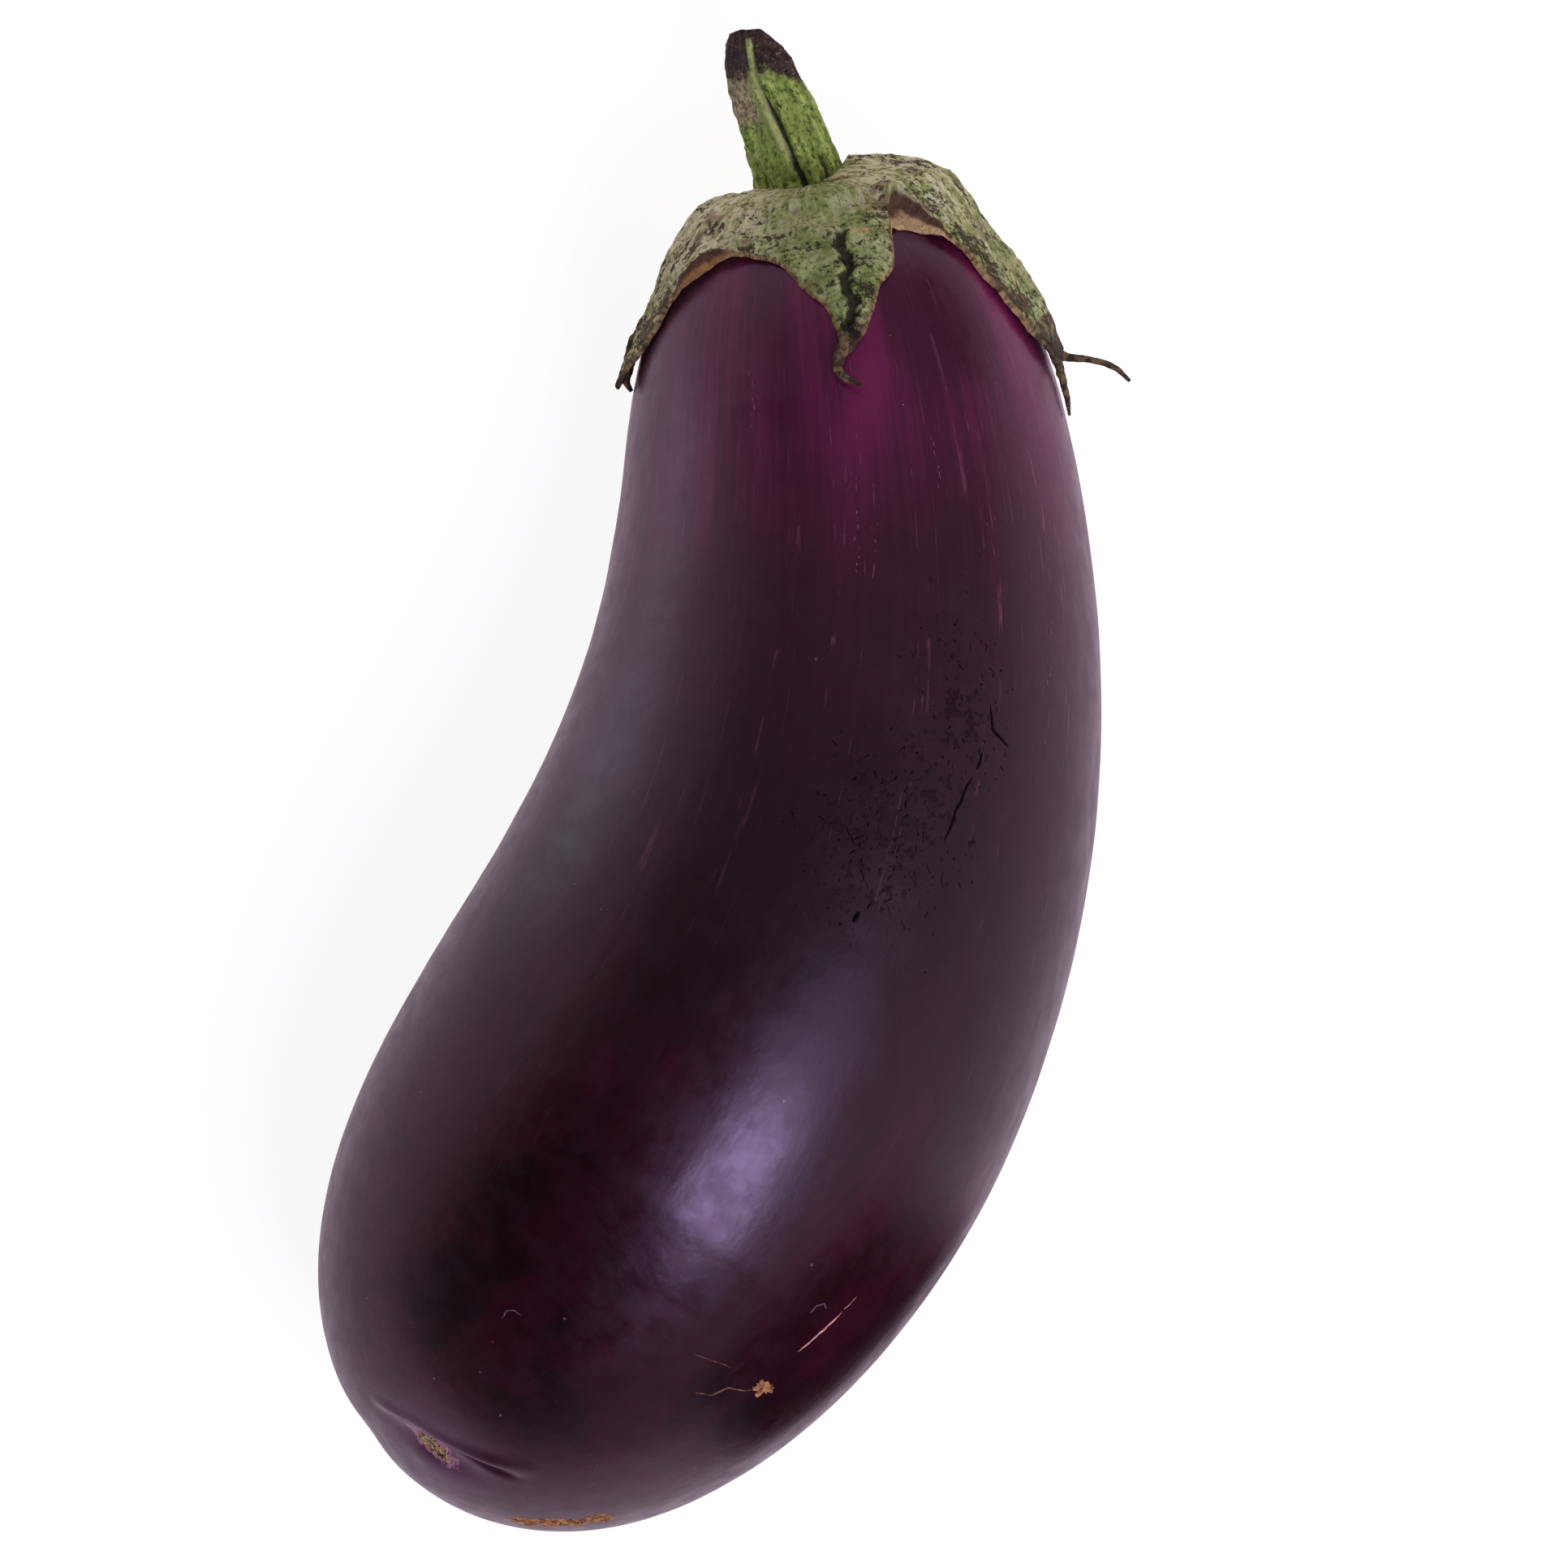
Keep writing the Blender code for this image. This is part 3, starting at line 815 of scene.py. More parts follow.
def corky_parts():
    parts = [skin_crust(SCAB, 1.35, 2.0, 0.5, 0.36, 1.25, 301)]
    for number, place_on_skin in enumerate(CORKY_EDGE):
        parts.append(skin_crust(place_on_skin, 2.9, 1.9, 0.45, 0.24, 0.8, 321 + 3 * number))
    return parts


def grey_parts():
    parts = [skin_thread(arc, 0.10, 0.03, 351) for arc in GREY_ARCS]
    for number, spot in enumerate(DUST):
        parts.append(skin_crust(spot, 0.26, 0.24, 0.0, 0.12, 0.3, 361 + number))
    return parts


def dark_parts():
    parts = [skin_thread(path, 0.22, 0.04, 381 + number) for number, path in enumerate(CREASES)]
    parts += cracked_patch((114.0, 13.0), (6.0, 8.0), 130, 395)
    parts += cracked_patch((97.0, 28.0), (7.0, 5.0), 60, 396)
    return parts + [skin_thread(NICK, 0.42, 0.03, 391)]


def blot_parts():
    return dull_blots((114.5, 11.0), (7.0, 9.0), 230, 501) + dull_blots((98.0, 24.0), (8.0, 6.0), 130, 801)


def streak_parts():
    parts = []
    for number, ends in enumerate(STREAKS):
        parts += broken_streak(ends, 401 + number)
    return parts


def make_marks():
    string_brown = plain_mark("string_brown", screen(150, 104, 76), screen(72, 48, 44))
    scratch_pink = plain_mark("scratch_pink", screen(240, 188, 168), screen(214, 136, 124))
    dust_grey = plain_mark("dust_grey", screen(120, 100, 112), screen(76, 58, 70))
    crease_dark = plain_mark("crease_dark", (0.004, 0.001, 0.002), (0.002, 0.0006, 0.001), 0.06)
    dull_skin = plain_mark("dull_skin", (0.016, 0.0030, 0.0075), (0.0095, 0.0018, 0.0048), 0.23)
    streak_pink = plain_mark("streak_pink", screen(138, 84, 108), screen(94, 48, 70))
    strings = [skin_thread(SCAB_STRINGS[0], 0.13, 0.06, 311), skin_thread(SCAB_STRINGS[1], 0.07, 0.03, 315)]
    scratch = [skin_thread(SCRATCH, 0.18, 0.07, 341), skin_thread(SCRATCH_END, 0.07, 0.03, 345)]
    for name, parts, material in (
        ("corky_marks", corky_parts(), cork_material()),
        ("scab_strings", strings, string_brown),
        ("pale_scratch", scratch, scratch_pink),
        ("grey_specks", grey_parts(), dust_grey),
        ("dark_creases", dark_parts(), crease_dark),
        ("dull_blots", blot_parts(), dull_skin),
        ("pink_streaks", streak_parts(), streak_pink),
    ):
        piece = joined(name, parts, material)
        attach(piece, BODY_NAME)


def millimetres(s):
    return s.scale(s.node("ShaderNodeTexCoord").outputs["Object"], (1000.0, 1000.0, 1000.0))


def cork_material():
    s = Shader("corky_brown", Roughness=0.8, Specular_IOR_Level=0.3)
    spot = millimetres(s)
    uneven = s.span(s.noise(spot, 0.9, 4.0, 0.65), 0.36, 0.62)
    s.colour = s.mix(uneven, screen(122, 74, 40), screen(204, 148, 92))
    s.paint(s.span(s.noise(spot, 1.7, 3.0), 0.58, 0.68), screen(70, 40, 28))
    s.use("Base Color", s.colour)
    s.use("Normal", s.bump(s.noise(spot, 2.2, 3.0), 0.25, 0.8))
    return s.material


def plain_mark(name, light, dark, specular=0.4):
    s = Shader(name, Roughness=0.6, Specular_IOR_Level=specular)
    s.use("Specular Tint", GLOSS_TINT)
    spot = millimetres(s)
    s.use("Base Color", s.mix(s.span(s.noise(spot, 1.6, 3.0), 0.35, 0.65), light, dark))
    return s.material


# ---------------------------------------------------------------- calyx

# The edge of the calyx as (angle in degrees, length): five pointed sepals and the bays between them.
SEPAL_OUTLINE = (
    (-142, 42.0), (-135, 38.0), (-127, 32.0), (-119, 27.0), (-112, 25.0),
    (-104, 26.5), (-96, 31.0), (-90, 36.0), (-86, 40.5), (-83.5, 44.0),
    (-80.5, 41.5), (-71, 37.2), (-64.5, 33.6), (-59, 30.8), (-53, 28.2), (-46, 25.8), (-38, 24.4),
    (-28.8, 24.4), (-19, 25.8), (-14.5, 27.2), (-9.5, 30.8), (-5.2, 34.2), (-2.0, 35.6), (-0.4, 38.5),
    (0.6, 42.0), (1.6, 45.3), (4.5, 43.8), (8.2, 41.0), (12, 37.4), (15, 34.2), (18.2, 32.6),
    (21.6, 31.0), (24.0, 28.0), (27.5, 23.6), (34, 24.0), (40, 25.4), (46, 27.4), (51, 30.2), (54, 34.0),
    (58, 38.3), (63, 42.5), (70, 46.0), (80, 48.5), (90, 43.0), (98, 36.0), (105, 29.0), (113, 25.5),
    (122, 27.0), (132, 32.0), (140, 38.0), (146, 43.0), (152, 38.0), (161, 31.0), (171, 26.5), (181, 25.0),
    (191, 27.0), (202, 33.0), (212, 39.0),
)
# Where two sepals part: angle, half width of the bay and depth of its brown inner face.
BAYS = (
    (-46.0, 10.5, 0.52), (36.0, 8.0, 1.15), (112.0, 10.0, 0.6), (-112.0, 10.0, 0.6), (180.0, 10.0, 0.6),
)
SEPAL_MIDDLES = (-142.0, -81.0, 2.5, 81.0, 146.0)
CALYX_COLUMNS = 760
CALYX_ROWS = 92
RIM_ROWS = 12
UNDER_ROWS = 8
CALYX_HOLE = 6.2
CALYX_INSIDE = 0.15
EDGE_THICKNESS = 0.42
NECK_RADIUS = 26.0
OUTLINE_SAMPLES = 4000
OUTLINE_SMOOTHING = 500
CALYX_SPOKE_RADIUS = 11.0
CALYX_SPOKE_STRETCH = 0.16
SEPAL_ENDS = ((-142.0, 42.0), (-82.5, 44.5), (2.5, 45.3), (80.0, 48.5), (146.0, 43.0))
CRACK_START = 23.0
CRACK_END = 43.8
TEAR_LENGTH = 24.4


def turned(angle, middle):
    """Difference of two angles in degrees, from -180 to 180."""
    return (angle - middle + 180.0) % 360.0 - 180.0


def closed_outline(corners, count):
    """Evenly spaced points along a smooth closed line of (angle, length) corners."""
    closed = np.array(corners + ((corners[0][0] + 360.0, corners[0][1]),), dtype=float)
    fine = np.linspace(0.0, len(corners), OUTLINE_SAMPLES)
    line = points_on(closed, np.arange(len(closed)), fine)
    for _ in range(OUTLINE_SMOOTHING):
        line[1:-1] = 0.25 * line[:-2] + 0.5 * line[1:-1] + 0.25 * line[2:]
    angle, length = line.T
    turn = np.radians(angle)
    length = length + 0.42 * fractal(cylinder(NECK_RADIUS, turn, length), 2.4, 3, 41)
    walked = running_length(np.stack([turn * NECK_RADIUS, length], axis=-1))
    even = np.linspace(0.0, walked[-1], count, endpoint=False)
    return np.interp(even, walked, angle), np.interp(even, walked, length)


def bay_amount(angle):
    """1 where two sepals part, 0 along a sepal."""
    amount = 0.0
    for middle, width, depth in BAYS:
        amount = amount + depth * bump(turned(angle, middle), 0.0, width)
    return amount


def sepal_lift(angle, length):
    """How far the calyx stands off the skin beyond its plain thickness."""
    from_right = turned(angle, 84.0)
    from_left = turned(angle, -84.0)
    lift = 2.8 * bump(from_right, 0.0, 34.0) * smooth(27.0, 18.0, length)
    lift = lift + 1.0 * bump(from_right, 0.0, 17.0) * smooth(27.0, 40.0, length)
    lift = lift + 1.5 * bump(from_left, 0.0, 36.0) * bump(length, 14.0, 6.0)
    lift = lift - 0.75 * bump(from_left, 0.0, 22.0) * bump(length, 29.0, 6.0)
    lift = lift + 1.1 * bump(from_left, 0.0, 16.0) * smooth(36.0, 44.0, length)
    lift = lift + 0.4 * smooth(36.0, 46.0, length)
    return lift - 1.1 * bump(turned(angle, 2.0), 0.0, 44.0) * smooth(16.0, 8.0, length)


def across_mm(angle, middle, length):
    """Distance sideways over the skin from a line along the fruit."""
    return np.radians(turned(angle, middle)) * outline_at(length)[1]


def crack_at(angle, length):
    """Sideways distance from the dark split along the front sepal."""
    middle = 7.6 - 0.185 * (length - 23.8) + 1.1 * np.sin(length * 0.9) + 0.6 * np.sin(length * 2.3 + 1.0)
    return across_mm(angle, middle, length)


def calyx_spokes(turn, length):
    return cylinder(CALYX_SPOKE_RADIUS, turn, CALYX_SPOKE_STRETCH * length)


def calyx_relief(angle, length, to_edge):
    """Folds, ribs and wrinkles of the outer face."""
    turn = np.radians(angle)
    straight = unbent(length, turn)
    folds = 0.55 * fractal(calyx_spokes(turn, length), 3.4, 2, 45) * smooth(6.0, 12.0, length)
    wrinkles = 0.30 * fractal(straight, 2.6, 3, 51) + 0.20 * fractal(straight, 0.95, 2, 61)
    ribs = 0.0
    for middle in SEPAL_MIDDLES:
        gap = across_mm(angle, middle, length)
        ribs = ribs + 0.45 * bump(gap, 0.0, 1.5) * smooth(8.0, 15.0, length) * smooth(48.0, 38.0, length)
    gap = crack_at(angle, length)
    on_crack = smooth(CRACK_START - 1.0, CRACK_START + 1.5, length)
    on_crack = on_crack * smooth(CRACK_END, CRACK_END - 3.0, length)
    crack = (0.45 * bump(np.abs(gap), 1.25, 0.55) - 0.75 * bump(gap, 0.0, 0.75)) * on_crack
    curled = 0.35 * smooth(2.2, 0.6, to_edge) * smooth(0.0, 0.6, to_edge)
    return folds + wrinkles + ribs + crack + curled


def tip_amount(angle, length):
    """1 at the dried end of a sepal, 0 away from it."""
    amount = np.zeros(len(angle))
    for middle, tip_length in SEPAL_ENDS:
        near = bump(turned(angle, middle), 0.0, 12.0) > 0.05
        amount = np.where(near, smooth(tip_length - 6.0, tip_length - 2.0, length), amount)
    return amount


def make_calyx(material):
    rings = []
    charts = []

    def add_rows(length, angle, height, to_edge, rim):
        """Rows of the mesh; rim is 0 on the outer face, above 0 to 1 over the rim and 1.5 inside."""
        rings.append(over_skin(length, np.radians(angle), height))
        charts.append(np.stack(np.broadcast_arrays(angle, length, to_edge, rim), -1))

    edge_angle, edge_length = closed_outline(SEPAL_OUTLINE, CALYX_COLUMNS)
    bay = bay_amount(edge_angle)
    hole_angle = edge_angle[0] + np.linspace(0.0, 360.0, CALYX_COLUMNS, endpoint=False)

    # The outer face, from the stem to the rim.
    t = np.linspace(0.0, 1.0, CALYX_ROWS)[:, None]
    rim_width = 0.35 + 4.3 * bay
    green_end = edge_length - rim_width
    length = CALYX_HOLE + (green_end - CALYX_HOLE) * t
    angle = hole_angle + (edge_angle - hole_angle) * t**1.15
    edge_points = over_skin(edge_length, np.radians(edge_angle), 0.3)
    to_edge = np.zeros(length.shape)
    for row, row_points in enumerate(over_skin(length, np.radians(angle), 0.3)):
        gaps = row_points[:, None, :] - edge_points[None, :, :]
        to_edge[row] = np.sqrt((gaps**2).sum(-1).min(1))
    body = 0.95 + 0.95 * smooth(46.0, 16.0, length)
    rounded = (1.0 - np.minimum(to_edge / 2.4, 1.0)) ** 2
    body = 0.5 + (body - 0.5) * (1.0 - rounded * np.clip(1.0 - 1.3 * bay, 0.0, 1.0))
    height = CALYX_INSIDE + body + sepal_lift(angle, length) + 1.5 * bay * smooth(0.55, 1.0, t) ** 1.5
    height = np.maximum(height + calyx_relief(angle, length, to_edge), CALYX_INSIDE + 0.45)
    add_rows(length, angle, height, to_edge, 0.0)

    # The rim, which is wide and hollow where two sepals part.
    u = np.linspace(0.0, 1.0, RIM_ROWS + 1)[1:, None]
    length = green_end + rim_width * u
    top = height[-1]
    touching = np.clip(1.3 * bay, 0.0, 1.0)
    edge_height = CALYX_INSIDE + np.maximum(top - EDGE_THICKNESS - CALYX_INSIDE, 0.0) * (1.0 - touching)
    hollow = (1.0 - u) * (1.0 - 0.35 * bay * np.sin(math.pi * u))
    height = edge_height + (top - edge_height) * hollow
    ragged = fractal(unbent(length, np.radians(edge_angle)), 1.3, 3, 71)
    add_rows(length, edge_angle, height + 0.22 * ragged * np.sin(math.pi * u), 0.0, u)

    # The inner face, back to the stem just over the skin.
    v = np.linspace(1.0, 0.0, UNDER_ROWS + 1)[1:, None]
    length = CALYX_HOLE + (edge_length - CALYX_HOLE) * v
    angle = hole_angle + (edge_angle - hole_angle) * v**1.15
    add_rows(length, angle, CALYX_INSIDE + (edge_height - CALYX_INSIDE) * v**4, 0.0, 1.5)

    rings = np.concatenate(rings)
    faces = grid_faces(rings.shape[0], CALYX_COLUMNS, closed_rows=True)
    calyx = place("calyx_cap", rings.reshape(-1, 3), faces, material)
    angle, length, to_edge, rim = np.concatenate(charts).reshape(-1, 4).T
    turn = np.radians(angle)
    add_values(calyx, "straight", unbent(length, turn))
    add_values(calyx, "spokes", calyx_spokes(turn, length))
    add_values(calyx, "chart", np.stack([crack_at(angle, length), length, to_edge], -1))
    add_values(calyx, "edge", np.stack([rim, bay_amount(angle), turned(angle, 0.0) / 90.0], -1))
    add_values(calyx, "at_tip", tip_amount(angle, length))
    finish_piece(calyx, "calyx")


def paint_green(s, straight, spokes, length, side):
    """The green of the outer face, yellower near the stem, with pale down on the sides."""
    uneven = s.span(s.noise(straight, 0.22, 4.0), 0.36, 0.64)
    s.colour = s.mix(uneven, screen(146, 164, 80), screen(206, 216, 136))
    near_stem = s.times(s.span(length, 33.0, 15.0), s.span(s.noise(straight, 0.45, 4.0, 0.6), 0.34, 0.62))
    beside = s.span(s.size_of(side), 0.12, 0.50, 0.30, 1.0)
    s.paint(s.times(near_stem, beside, 0.85), screen(230, 234, 160))
    s.paint(s.span(beside, 0.30, 1.0, 0.35, 0.0), screen(112, 134, 58))
    s.paint(s.span(side, -0.10, -0.40, 0.0, 0.35), screen(238, 240, 184))
    s.paint(s.span(s.noise(straight, 1.3, 4.0, 0.65), 0.42, 0.70), screen(84, 100, 42))
    down = s.span(s.noise(spokes, 1.5, 4.0, 0.65, 0.6), 0.47, 0.57)
    down_here = s.span(length, 38.0, 14.0, 0.15, 1.0)
    s.paint(s.times(down, down_here, beside), screen(246, 248, 200))


def calyx_specks(s, straight, to_edge, side):
    """Amount of dark specks, which crowd towards the edges and on the sides."""
    crowded = s.add_up(
        s.span(to_edge, 9.0, 0.5, 0.0, 0.12),
        s.span(s.size_of(side), 0.35, 0.9, 0.0, 0.09),
        s.span(s.noise(straight, 0.3, 2.0), 0.45, 0.65, 0.0, 0.14),
    )
    grain = s.noise(s.scale(straight, (1.0, 1.0, 0.7)), 1.5, 4.0, 0.7)
    return s.span(s.add_up(grain, crowded), 0.68, 0.74)


def crack_and_tear(s, straight, from_crack, length):
    """Amounts of the black split along the front sepal, dark tissue with painted shade in the gap, and of a
    short healed torn edge beside it, whose pale colour is partly a painted highlight.
    """
    width = s.span(s.noise(straight, 0.9, 3.0), 0.35, 0.65, 0.45, 1.15)
    inside = s.span(s.math("SUBTRACT", s.size_of(from_crack), width), -0.25, 0.25, 1.0, 0.0)
    along = s.times(s.span(length, CRACK_START, CRACK_START + 1.2), s.span(length, 44.5, 43.0))
    from_tear = s.size_of(s.math("SUBTRACT", length, TEAR_LENGTH))
    tear_reach = s.times(s.span(from_crack, 0.9, 1.2), s.span(from_crack, 4.0, 3.4))
    return s.times(inside, along), s.times(s.span(from_tear, 0.12, 0.34, 1.0, 0.0), tear_reach)


def bay_face(s, straight, rim, side):
    """The brown inner face where two sepals part: dark brown above with painted shade under the lip, and tan
    along the skin.
    """
    # The dark upper colour is dark brown tissue together with painted shade under the lip.
    dark_and_shaded_face = s.mix(s.noise(straight, 1.5, 4.0), screen(52, 36, 28), screen(122, 86, 56))
    tan_right = s.mix(s.noise(straight, 1.1, 4.0), screen(176, 140, 84), screen(232, 204, 146))
    tan_left = s.mix(s.noise(straight, 1.6, 4.0), screen(112, 76, 40), screen(212, 160, 92))
    tan_face = s.mix(s.span(side, -0.2, 0.2), tan_left, tan_right)
    uneven_rim = s.add_up(rim, s.swing(straight, 0.9, 3.0, 0.5))
    face = s.mix(s.span(uneven_rim, 0.35, 0.66), dark_and_shaded_face, tan_face)
    return s.mix(s.span(s.noise(straight, 1.9, 3.0, 0.7), 0.62, 0.70), face, screen(58, 40, 24))


def calyx_material():
    s = Shader("calyx_green", Specular_IOR_Level=0.35)
    straight = s.vector("straight")
    spokes = s.vector("spokes")
    chart = s.vector("chart")
    edge = s.vector("edge")
    from_crack = s.part(chart, 0)
    length = s.part(chart, 1)
    to_edge = s.part(chart, 2)
    rim = s.part(edge, 0)
    bays = s.part(edge, 1)
    side = s.part(edge, 2)
    at_tip = s.number("at_tip")

    paint_green(s, straight, spokes, length, side)
    patch = s.span(s.noise(straight, 0.16, 3.0, 0.6), 0.56, 0.68)
    s.paint(s.times(patch, 0.65), screen(128, 98, 72))
    specks = calyx_specks(s, straight, to_edge, side)
    rusty = s.mix(s.span(s.noise(straight, 0.35, 2.0), 0.40, 0.60), screen(44, 34, 20), screen(78, 46, 30))
    s.paint(s.times(specks, 0.90), rusty)
    crack, tear_edge_and_highlight = crack_and_tear(s, straight, from_crack, length)
    # The split: dark brown tissue with painted shade in the gap.
    s.paint(s.times(crack, 0.93), screen(42, 30, 24))
    # The torn edge: pale tissue with a painted highlight along its raised rim.
    s.paint(s.times(tear_edge_and_highlight, 0.9), screen(236, 176, 108))

    # A corky tan line along the edges, brown ends, the faces of the bays and the inner side.
    cork = s.mix(s.span(s.noise(straight, 1.1, 4.0), 0.35, 0.62), screen(84, 62, 36), screen(186, 152, 100))
    ragged = s.add_up(to_edge, s.swing(straight, 1.6, 3.0, 0.7))
    s.paint(s.span(ragged, 0.62, 0.30, 0.0, 0.85), cork)
    ends = s.span(s.add_up(length, s.times(s.noise(straight, 0.5, 3.0), 5.0)), 44.0, 47.5)
    s.paint(s.times(ends, 0.85), screen(84, 66, 46))
    face = s.mix(s.span(bays, 0.05, 0.35), cork, bay_face(s, straight, rim, side))
    s.paint(s.span(rim, 0.0, 0.09), face)
    s.paint(s.span(rim, 1.15, 1.4), screen(150, 140, 100))
    s.paint(s.times(at_tip, 0.8), screen(50, 38, 26))
    s.use("Base Color", s.colour)
    s.use("Roughness", s.span(s.noise(straight, 1.0, 2.0), 0.3, 0.7, 0.62, 0.9))
    relief = s.add_up(
        s.noise(straight, 1.1, 4.0, 0.6),
        s.times(s.noise(spokes, 2.6, 3.0, 0.6), 0.55),
        s.times(s.noise(straight, 4.2, 3.0, 0.6), 0.30),
        s.times(specks, -0.35),
        s.times(crack, -0.8),
    )
    s.use("Normal", s.bump(relief, 0.55, 0.85))
    return s.material


# ---------------------------------------------------------------- dried tips of the sepals

TUBE_RINGS = 60
TUBE_SIDES = 16


def bent_tube(points, radii, seed):
    """Points and faces of a shrivelled, tapering tube through these places."""
    points = np.array(points, dtype=float)
    for _ in range(2):
        late = 0.25 * points[:-1] + 0.75 * points[1:]
        early = 0.75 * points[:-1] + 0.25 * points[1:]
        cut = np.stack([early, late], 1).reshape(-1, 3)
        points = np.concatenate([points[:1], cut[1:-1], points[-1:]])
    walked = running_length(points)
    even = np.linspace(0.0, walked[-1], TUBE_RINGS)
    line = points_on(points, walked, even)
    line = line + 0.16 * np.stack([fractal(line + 9.0 * axis, 1.7, 2, seed + axis) for axis in range(3)], -1)
    forward = unit(np.gradient(line, axis=0))
    side = unit(np.cross(np.array([0.1, 0.2, 1.0]), forward))
    up = np.cross(forward, side)
    radius = np.interp(even / even[-1], np.linspace(0.0, 1.0, len(radii)), radii)
    turn = np.linspace(0.0, 2.0 * math.pi, TUBE_SIDES, endpoint=False)
    circle = side[:, None] * np.cos(turn)[None, :, None] + 0.72 * up[:, None] * np.sin(turn)[None, :, None]
    rough = 1.0 + 0.30 * fractal(line[:, None] + 2.0 * circle, 0.8, 2, seed + 5)
    return capped_tube(line[:, None] + circle * (radius[:, None] * rough)[..., None])


def skin_spots(*places):
    """Points over the plain skin from (length, angle in degrees, height)."""
    return [over_skin(np.array(place[0]), np.array(math.radians(place[1])), place[2]) for place in places]


def make_tips(material):
    hook = skin_spots((42.0, 3.0, 1.2), (44.3, 0.6, 1.5), (46.6, -1.0, 1.4))
    hook += skin_spots((48.4, 0.4, 1.3), (49.4, 2.6, 1.7), (50.2, 4.6, 2.1))
    left = [(-11.6, 66.4, 33.0), (-13.3, 63.4, 33.0), (-14.4, 60.4, 33.4)]
    left += [(-15.1, 57.7, 33.6), (-14.1, 55.9, 34.0)]
    spur = [(-14.7, 59.0, 33.4), (-15.4, 58.0, 33.2), (-15.9, 57.4, 32.8)]
    first = skin_spots((44.5, 78.0, 1.3))
    first += [(47.7, 60.7, 36.0), (51.6, 60.5, 37.0), (55.7, 59.5, 37.2), (58.0, 57.3, 36.2)]
    second = skin_spots((45.0, 78.5, 1.3), (48.0, 80.2, 1.2), (51.0, 81.3, 1.0), (54.2, 82.0, 0.7))
    back = skin_spots((42.0, 146.0, 1.2), (45.0, 147.0, 1.4), (48.0, 145.5, 1.6), (50.0, 143.5, 2.4))
    under = skin_spots((40.0, -142.0, 1.2), (43.5, -141.0, 1.2), (46.5, -143.0, 1.0))
    tubes = (
        (hook, (1.1, 1.0, 0.75, 0.62, 0.5, 0.22), 101),
        (left, (1.0, 1.15, 0.95, 0.8, 0.3), 111),
        (spur, (0.6, 0.5, 0.25), 121),
        (first, (1.1, 0.8, 0.55, 0.5, 0.42, 0.25), 131),
        (second, (1.0, 0.65, 0.5, 0.22), 141),
        (back, (1.1, 0.8, 0.6, 0.25), 151),
        (under, (1.1, 0.7, 0.3), 161),
    )
    tips = joined("dried_tips", [bent_tube(path, radii, seed) for path, radii, seed in tubes], material)
    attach(tips, BODY_NAME)


def tip_material():
    s = Shader("dried_brown", Roughness=0.8, Specular_IOR_Level=0.3)
    spot = millimetres(s)
    s.colour = s.mix(s.span(s.noise(spot, 0.7, 3.0), 0.38, 0.62), screen(64, 50, 34), screen(128, 106, 70))
    s.paint(s.span(s.noise(spot, 2.1, 3.0), 0.55, 0.66), screen(34, 26, 22))
    s.use("Base Color", s.colour)
    s.use("Normal", s.bump(s.noise(spot, 2.4, 3.0), 0.3, 0.8))
    return s.material


# ---------------------------------------------------------------- stem

STEM_AXIS = (
    (11.8, 80.0, 33.1), (10.3, 86.7, 33.2), (7.8, 94.1, 33.4), (4.9, 101.7, 33.7), (3.8, 108.0, 33.9),
)
# Radius at distances along the stem, from inside the neck to past the cut.
STEM_RADII = (
    (0.0, 8.0), (3.5, 7.3), (6.9, 6.7), (10.5, 6.25), (14.7, 6.0), (19.5, 5.6), (23.0, 5.35), (26.0, 5.05),
    (30.0, 4.4),
)
STEM_ROWS = 190
STEM_COLUMNS = 280
STEM_MIDDLE_RADIUS = 5.5
END_ROWS = 26
END_SLANT = 3.9
PALE_RIDGE = -15.0
BACK_GROOVES = (118.0, 176.0, -115.0)


def groove_turn(along):
    """Angle in degrees of the dark groove down the front of the stem."""
    return -13.0 + 17.0 * smooth(24.0, 4.0, along) + 2.0 * np.sin(along * 0.5)


def stem_side(turn, along, whole):
    """Radius of the fluted side, and how much each place is in a groove and on the pale ridge."""
    degrees = np.degrees(turn) + 0.0 * along
    radii = np.array(STEM_RADII)
    smooth_radius = np.interp(along, radii[:, 0], radii[:, 1])
    rounding = 1.0 - 0.10 * smooth(1.6, 0.0, whole - along)
    groove = bump(turned(degrees, groove_turn(along)), 0.0, 5.5) * smooth(28.5, 25.0, along)
    ridge_turn = PALE_RIDGE + 9.0 * smooth(20.0, 8.0, along)
    ridge = bump(turned(degrees, ridge_turn), 0.0, 8.0) * smooth(4.0, 12.0, along)
    other = bump(turned(degrees, -52.0), 0.0, 7.0) * smooth(14.0, 5.0, along)
    other = other + bump(turned(degrees, 38.0), 0.0, 6.0) * smooth(16.0, 6.0, along)
    for middle in BACK_GROOVES:
        other = other + 0.8 * bump(turned(degrees, middle), 0.0, 8.0)
    spot = cylinder(STEM_MIDDLE_RADIUS, turn, along)
    long_spot = spot * np.array([1.0, 1.0, 0.22])
    flutes = 0.16 * np.cos(5.0 * turn + 0.9) + 0.55 * fractal(long_spot, 2.6, 2, 83)
    knobs = 0.42 * fractal(spot, 2.5, 3, 81) + 0.16 * fractal(spot, 0.8, 2, 87)
    radius = smooth_radius * rounding - 0.95 * groove - 0.5 * other + 0.45 * ridge + flutes + knobs
    shrunk = 0.35 * smooth(8.0, 5.0, whole - along) * (1.0 - ridge)
    return radius - shrunk, np.maximum(groove, 0.75 * other), ridge


